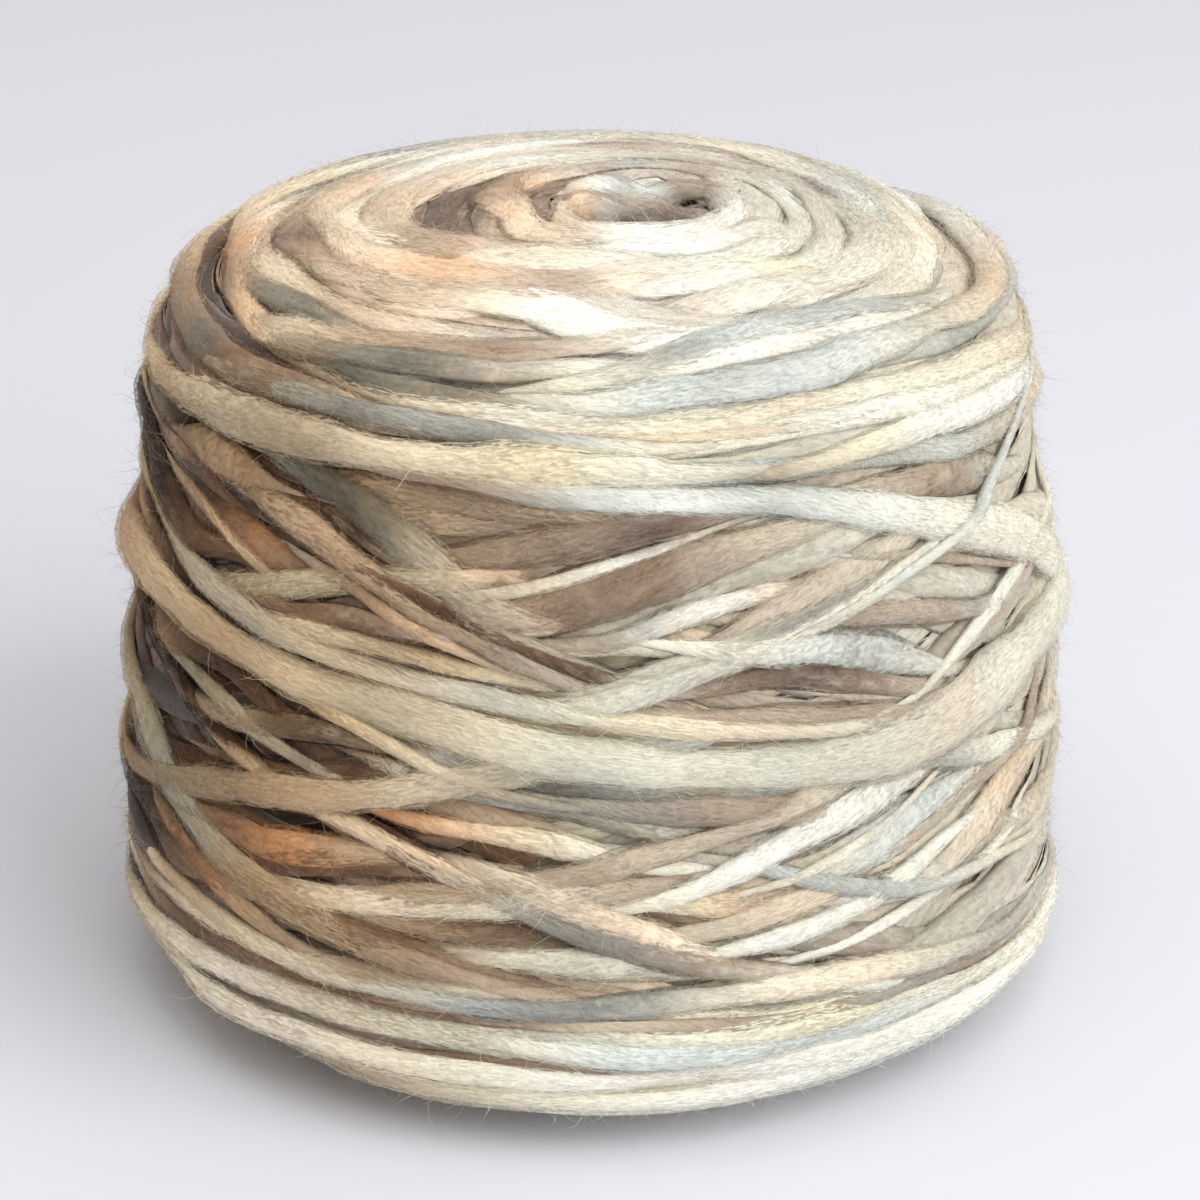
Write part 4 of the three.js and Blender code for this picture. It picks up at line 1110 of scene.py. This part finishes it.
dyed_wool = wool_material()
wool_fuzz = fuzz_material()
half = len(laid_side) // 2
for name, group in (("side_under", laid_side[:half]), ("side_over", laid_side[half:]),
                    ("band", laid_band), ("shoulder", laid_shoulder), ("top", laid_top)):
    wool_piece("wraps_" + name, group, 10, 2.5, dyed_wool)
    wool_piece("fuzz_" + name, group, 8, 3.6, wool_fuzz, swell=0.6)
for names in (("side_deep",), ("side_mid",), ("side_high",), ("foot_deep", "foot_high"),
              ("shoulder_deep", "shoulder_high"), ("top_deep", "top_high"),
              ("under_ring", "under_ring_high", "funnel", "funnel_high")):
    wool_piece("layer_" + names[0], sum((laid_layers[n] for n in names), []), 7, 3.8, dyed_wool)

# ---- The loose fibres ----
# Wool's short hairs work loose from a soft single yarn. Most are down that lies over the wraps
# and blurs their edges, and some are longer, stand out and make the cake's faint halo.
def unit(vectors):
    """Vectors at length 1."""
    return vectors / np.maximum(np.linalg.norm(vectors, axis=-1, keepdims=True), 1e-12)


def hair_lines(root, steps, length, lift, fall, spread, thickness):
    """The places along each hair, and the outward direction at its root. It starts at a random
    place of its root's face, runs off along the wrap at a random angle, turns as it goes, and
    rises at lift degrees, less fall degrees a step."""
    count = len(root)
    share = random.random((2, count, 1))
    place = root[:, 0:3] + share[0] * root[:, 3:6] + share[1] * root[:, 6:9]
    along = unit(root[:, 3:6])
    out = unit(np.cross(root[:, 3:6], root[:, 6:9]))
    aside = unit(np.cross(out, along))
    way = random.choice([-1, 1], count)
    heading, bend = np.radians(random.normal(0, spread, (2, count)))
    rise = np.radians(np.abs(random.normal(lift, lift / 2, count)))
    drop = np.radians(np.abs(random.normal(fall, fall / 2, count)))
    stride = MM * length * random.uniform(0.4, 1.6, (count, 1)) / steps
    line = [place - MM * thickness * out]
    for step in range(steps):
        turn, climb = (heading + bend * step)[:, None], (rise - drop * step)[:, None]
        flat = np.cos(turn) * way[:, None] * along + np.sin(turn) * aside
        line.append(line[-1] + stride * (np.cos(climb) * flat + np.sin(climb) * out))
    line = np.stack(line, axis=1)
    line[..., 2] = np.maximum(line[..., 2], MM * thickness)
    return line, out


def hair_points(line, out, steps, thickness):
    """Rings of three points round each place of a hair but its last, which is its point. They
    shrink in a straight line to half of the thickness."""
    direction = line[:, 1:] - line[:, :-1]
    first = unit(np.cross(direction, out[:, None, :]))
    second = unit(np.cross(direction, first))
    corner = 2 * np.pi * np.arange(3) / 3
    girth = MM * thickness / 2 * (1 - 0.5 * np.arange(steps) / steps)[None, :, None, None]
    rings = line[:, :-1, None, :] + girth * (first[:, :, None] * np.cos(corner)[:, None]
                                             + second[:, :, None] * np.sin(corner)[:, None])
    return np.concatenate([rings.reshape(len(line), 3 * steps, 3), line[:, -1:]], axis=1)


def hair_faces(steps):
    """The triangles of one hair: its root, its sides from ring to ring, and its point."""
    pairs = ((0, 1), (1, 2), (2, 0))
    ring = 3 * (steps - 1)
    faces = [[0, 2, 1]] + [[ring + a, ring + b, 3 * steps] for a, b in pairs]
    for low in range(0, ring, 3):
        faces += [[low + a, low + b, low + 3 + b] for a, b in pairs]
        faces += [[low + a, low + 3 + b, low + 3 + a] for a, b in pairs]
    return np.array(faces)


def hair_map(count, faces):
    """The corners of every face in a map where each hair has a square cell of its own, and each
    of its faces a column of the cell."""
    cells = math.ceil(math.sqrt(count))
    column = (np.arange(faces)[None, :, None] + np.array([0.1, 0.5, 0.9])) / faces
    number = np.arange(count)[:, None, None]
    across = (number % cells + column) / cells
    up = (number // cells + np.array([0.1, 0.9, 0.1])) / cells
    return np.stack(np.broadcast_arrays(across, up), axis=-1).reshape(-1, 2)


STRAY_HUES = "white cream cream beige peach pink pale_blue taupe".split()
MOST_STRAY = 0.4               # how much of a stray hue a hair may have


def hairs(name, count, steps, length, lift, fall, spread, thickness):
    """Tapered hairs of three sides, on the bare faces of the wraps, as many to each as its area asks. A
    hair has the dye and painted shade of its root, a little stray dye and a tone of its own."""
    every = np.concatenate(roots)
    area = np.linalg.norm(np.cross(every[:, 3:6], every[:, 6:9]), axis=1)
    root = every[random.choice(len(every), count, p=area / area.sum())]
    line, out = hair_lines(root, steps, length, lift, fall, spread, thickness)
    points = hair_points(line, out, steps, thickness)
    one = hair_faces(steps)
    faces = one[None] + (3 * steps + 1) * np.arange(count)[:, None, None]
    stray = np.array([HUES[h] for h in random.choice(STRAY_HUES, count)])
    mix = random.uniform(0, MOST_STRAY, (count, 1))
    tone = random.uniform(0.92, 1.1, (count, 1))
    colour = np.clip(tone * ((1 - mix) * root[:, 9:12] + mix * stray), 0, 0.95)
    piece = mesh_of(name, points.reshape(-1, 3), faces.reshape(-1, 3),
                    maps=[("OFBake", hair_map(count, len(one)))],
                    colours=[("dye", np.repeat(colour, 3 * steps + 1, axis=0))])
    piece.data.materials.append(loose_wool)
    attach(piece, "root")


loose_wool, tree, shader = new_material("loose_wool", roughness=0.9, specular=0.2)
tree.links.new(colour_of(tree, "dye"), shader.inputs["Base Color"])
for part in ("low", "high"):
    hairs("down_" + part, 36000, steps=1, length=2.2, lift=26, fall=0, spread=50, thickness=0.05)
hairs("long_hairs", 10000, steps=2, length=4.2, lift=34, fall=20, spread=35, thickness=0.045)

# ---- The floor and the light ----
# A plain pale floor. Soft light comes from a wide window on the right and above, and a little
# from all round.
FLOOR_SIZE = 4.0
FLOOR_CORNERS = np.array([(-1, -1, 0), (1, -1, 0), (1, 1, 0), (-1, 1, 0)])
floor = mesh_of("floor", FLOOR_CORNERS * FLOOR_SIZE / 2, np.array([[0, 1, 2, 3]]))
floor_paint, tree, shader = new_material("floor_paint", roughness=0.8, specular=0.5)
shader.inputs["Base Color"].default_value = (*linear(207, 208, 217), 1)
floor.data.materials.append(floor_paint)


def soft_light(name, place, size, power, colour):
    """A square area light that faces the cake."""
    light = bpy.data.lights.new(name, "AREA")
    light.size, light.energy, light.color = size, power, colour
    lamp = bpy.data.objects.new(name, light)
    bpy.context.scene.collection.objects.link(lamp)
    lamp.location = place
    lamp.rotation_mode = "QUATERNION"
    lamp.rotation_quaternion = (AIM - Vector(place)).to_track_quat("-Z", "Y")


soft_light("window", (0.92, -0.8, 0.8), 1.4, 22.5, (0.99, 0.985, 0.975))
soft_light("ceiling", (0.1, -0.2, 1.5), 1.6, 12, (0.96, 0.98, 1.0))
world = bpy.data.worlds.new("studio")
world.use_nodes = True
background = world.node_tree.nodes["Background"]
background.inputs["Color"].default_value = (*linear(246, 243, 235), 1)
background.inputs["Strength"].default_value = 0.63
bpy.context.scene.world = world
bpy.context.scene.view_settings.view_transform = "Standard"
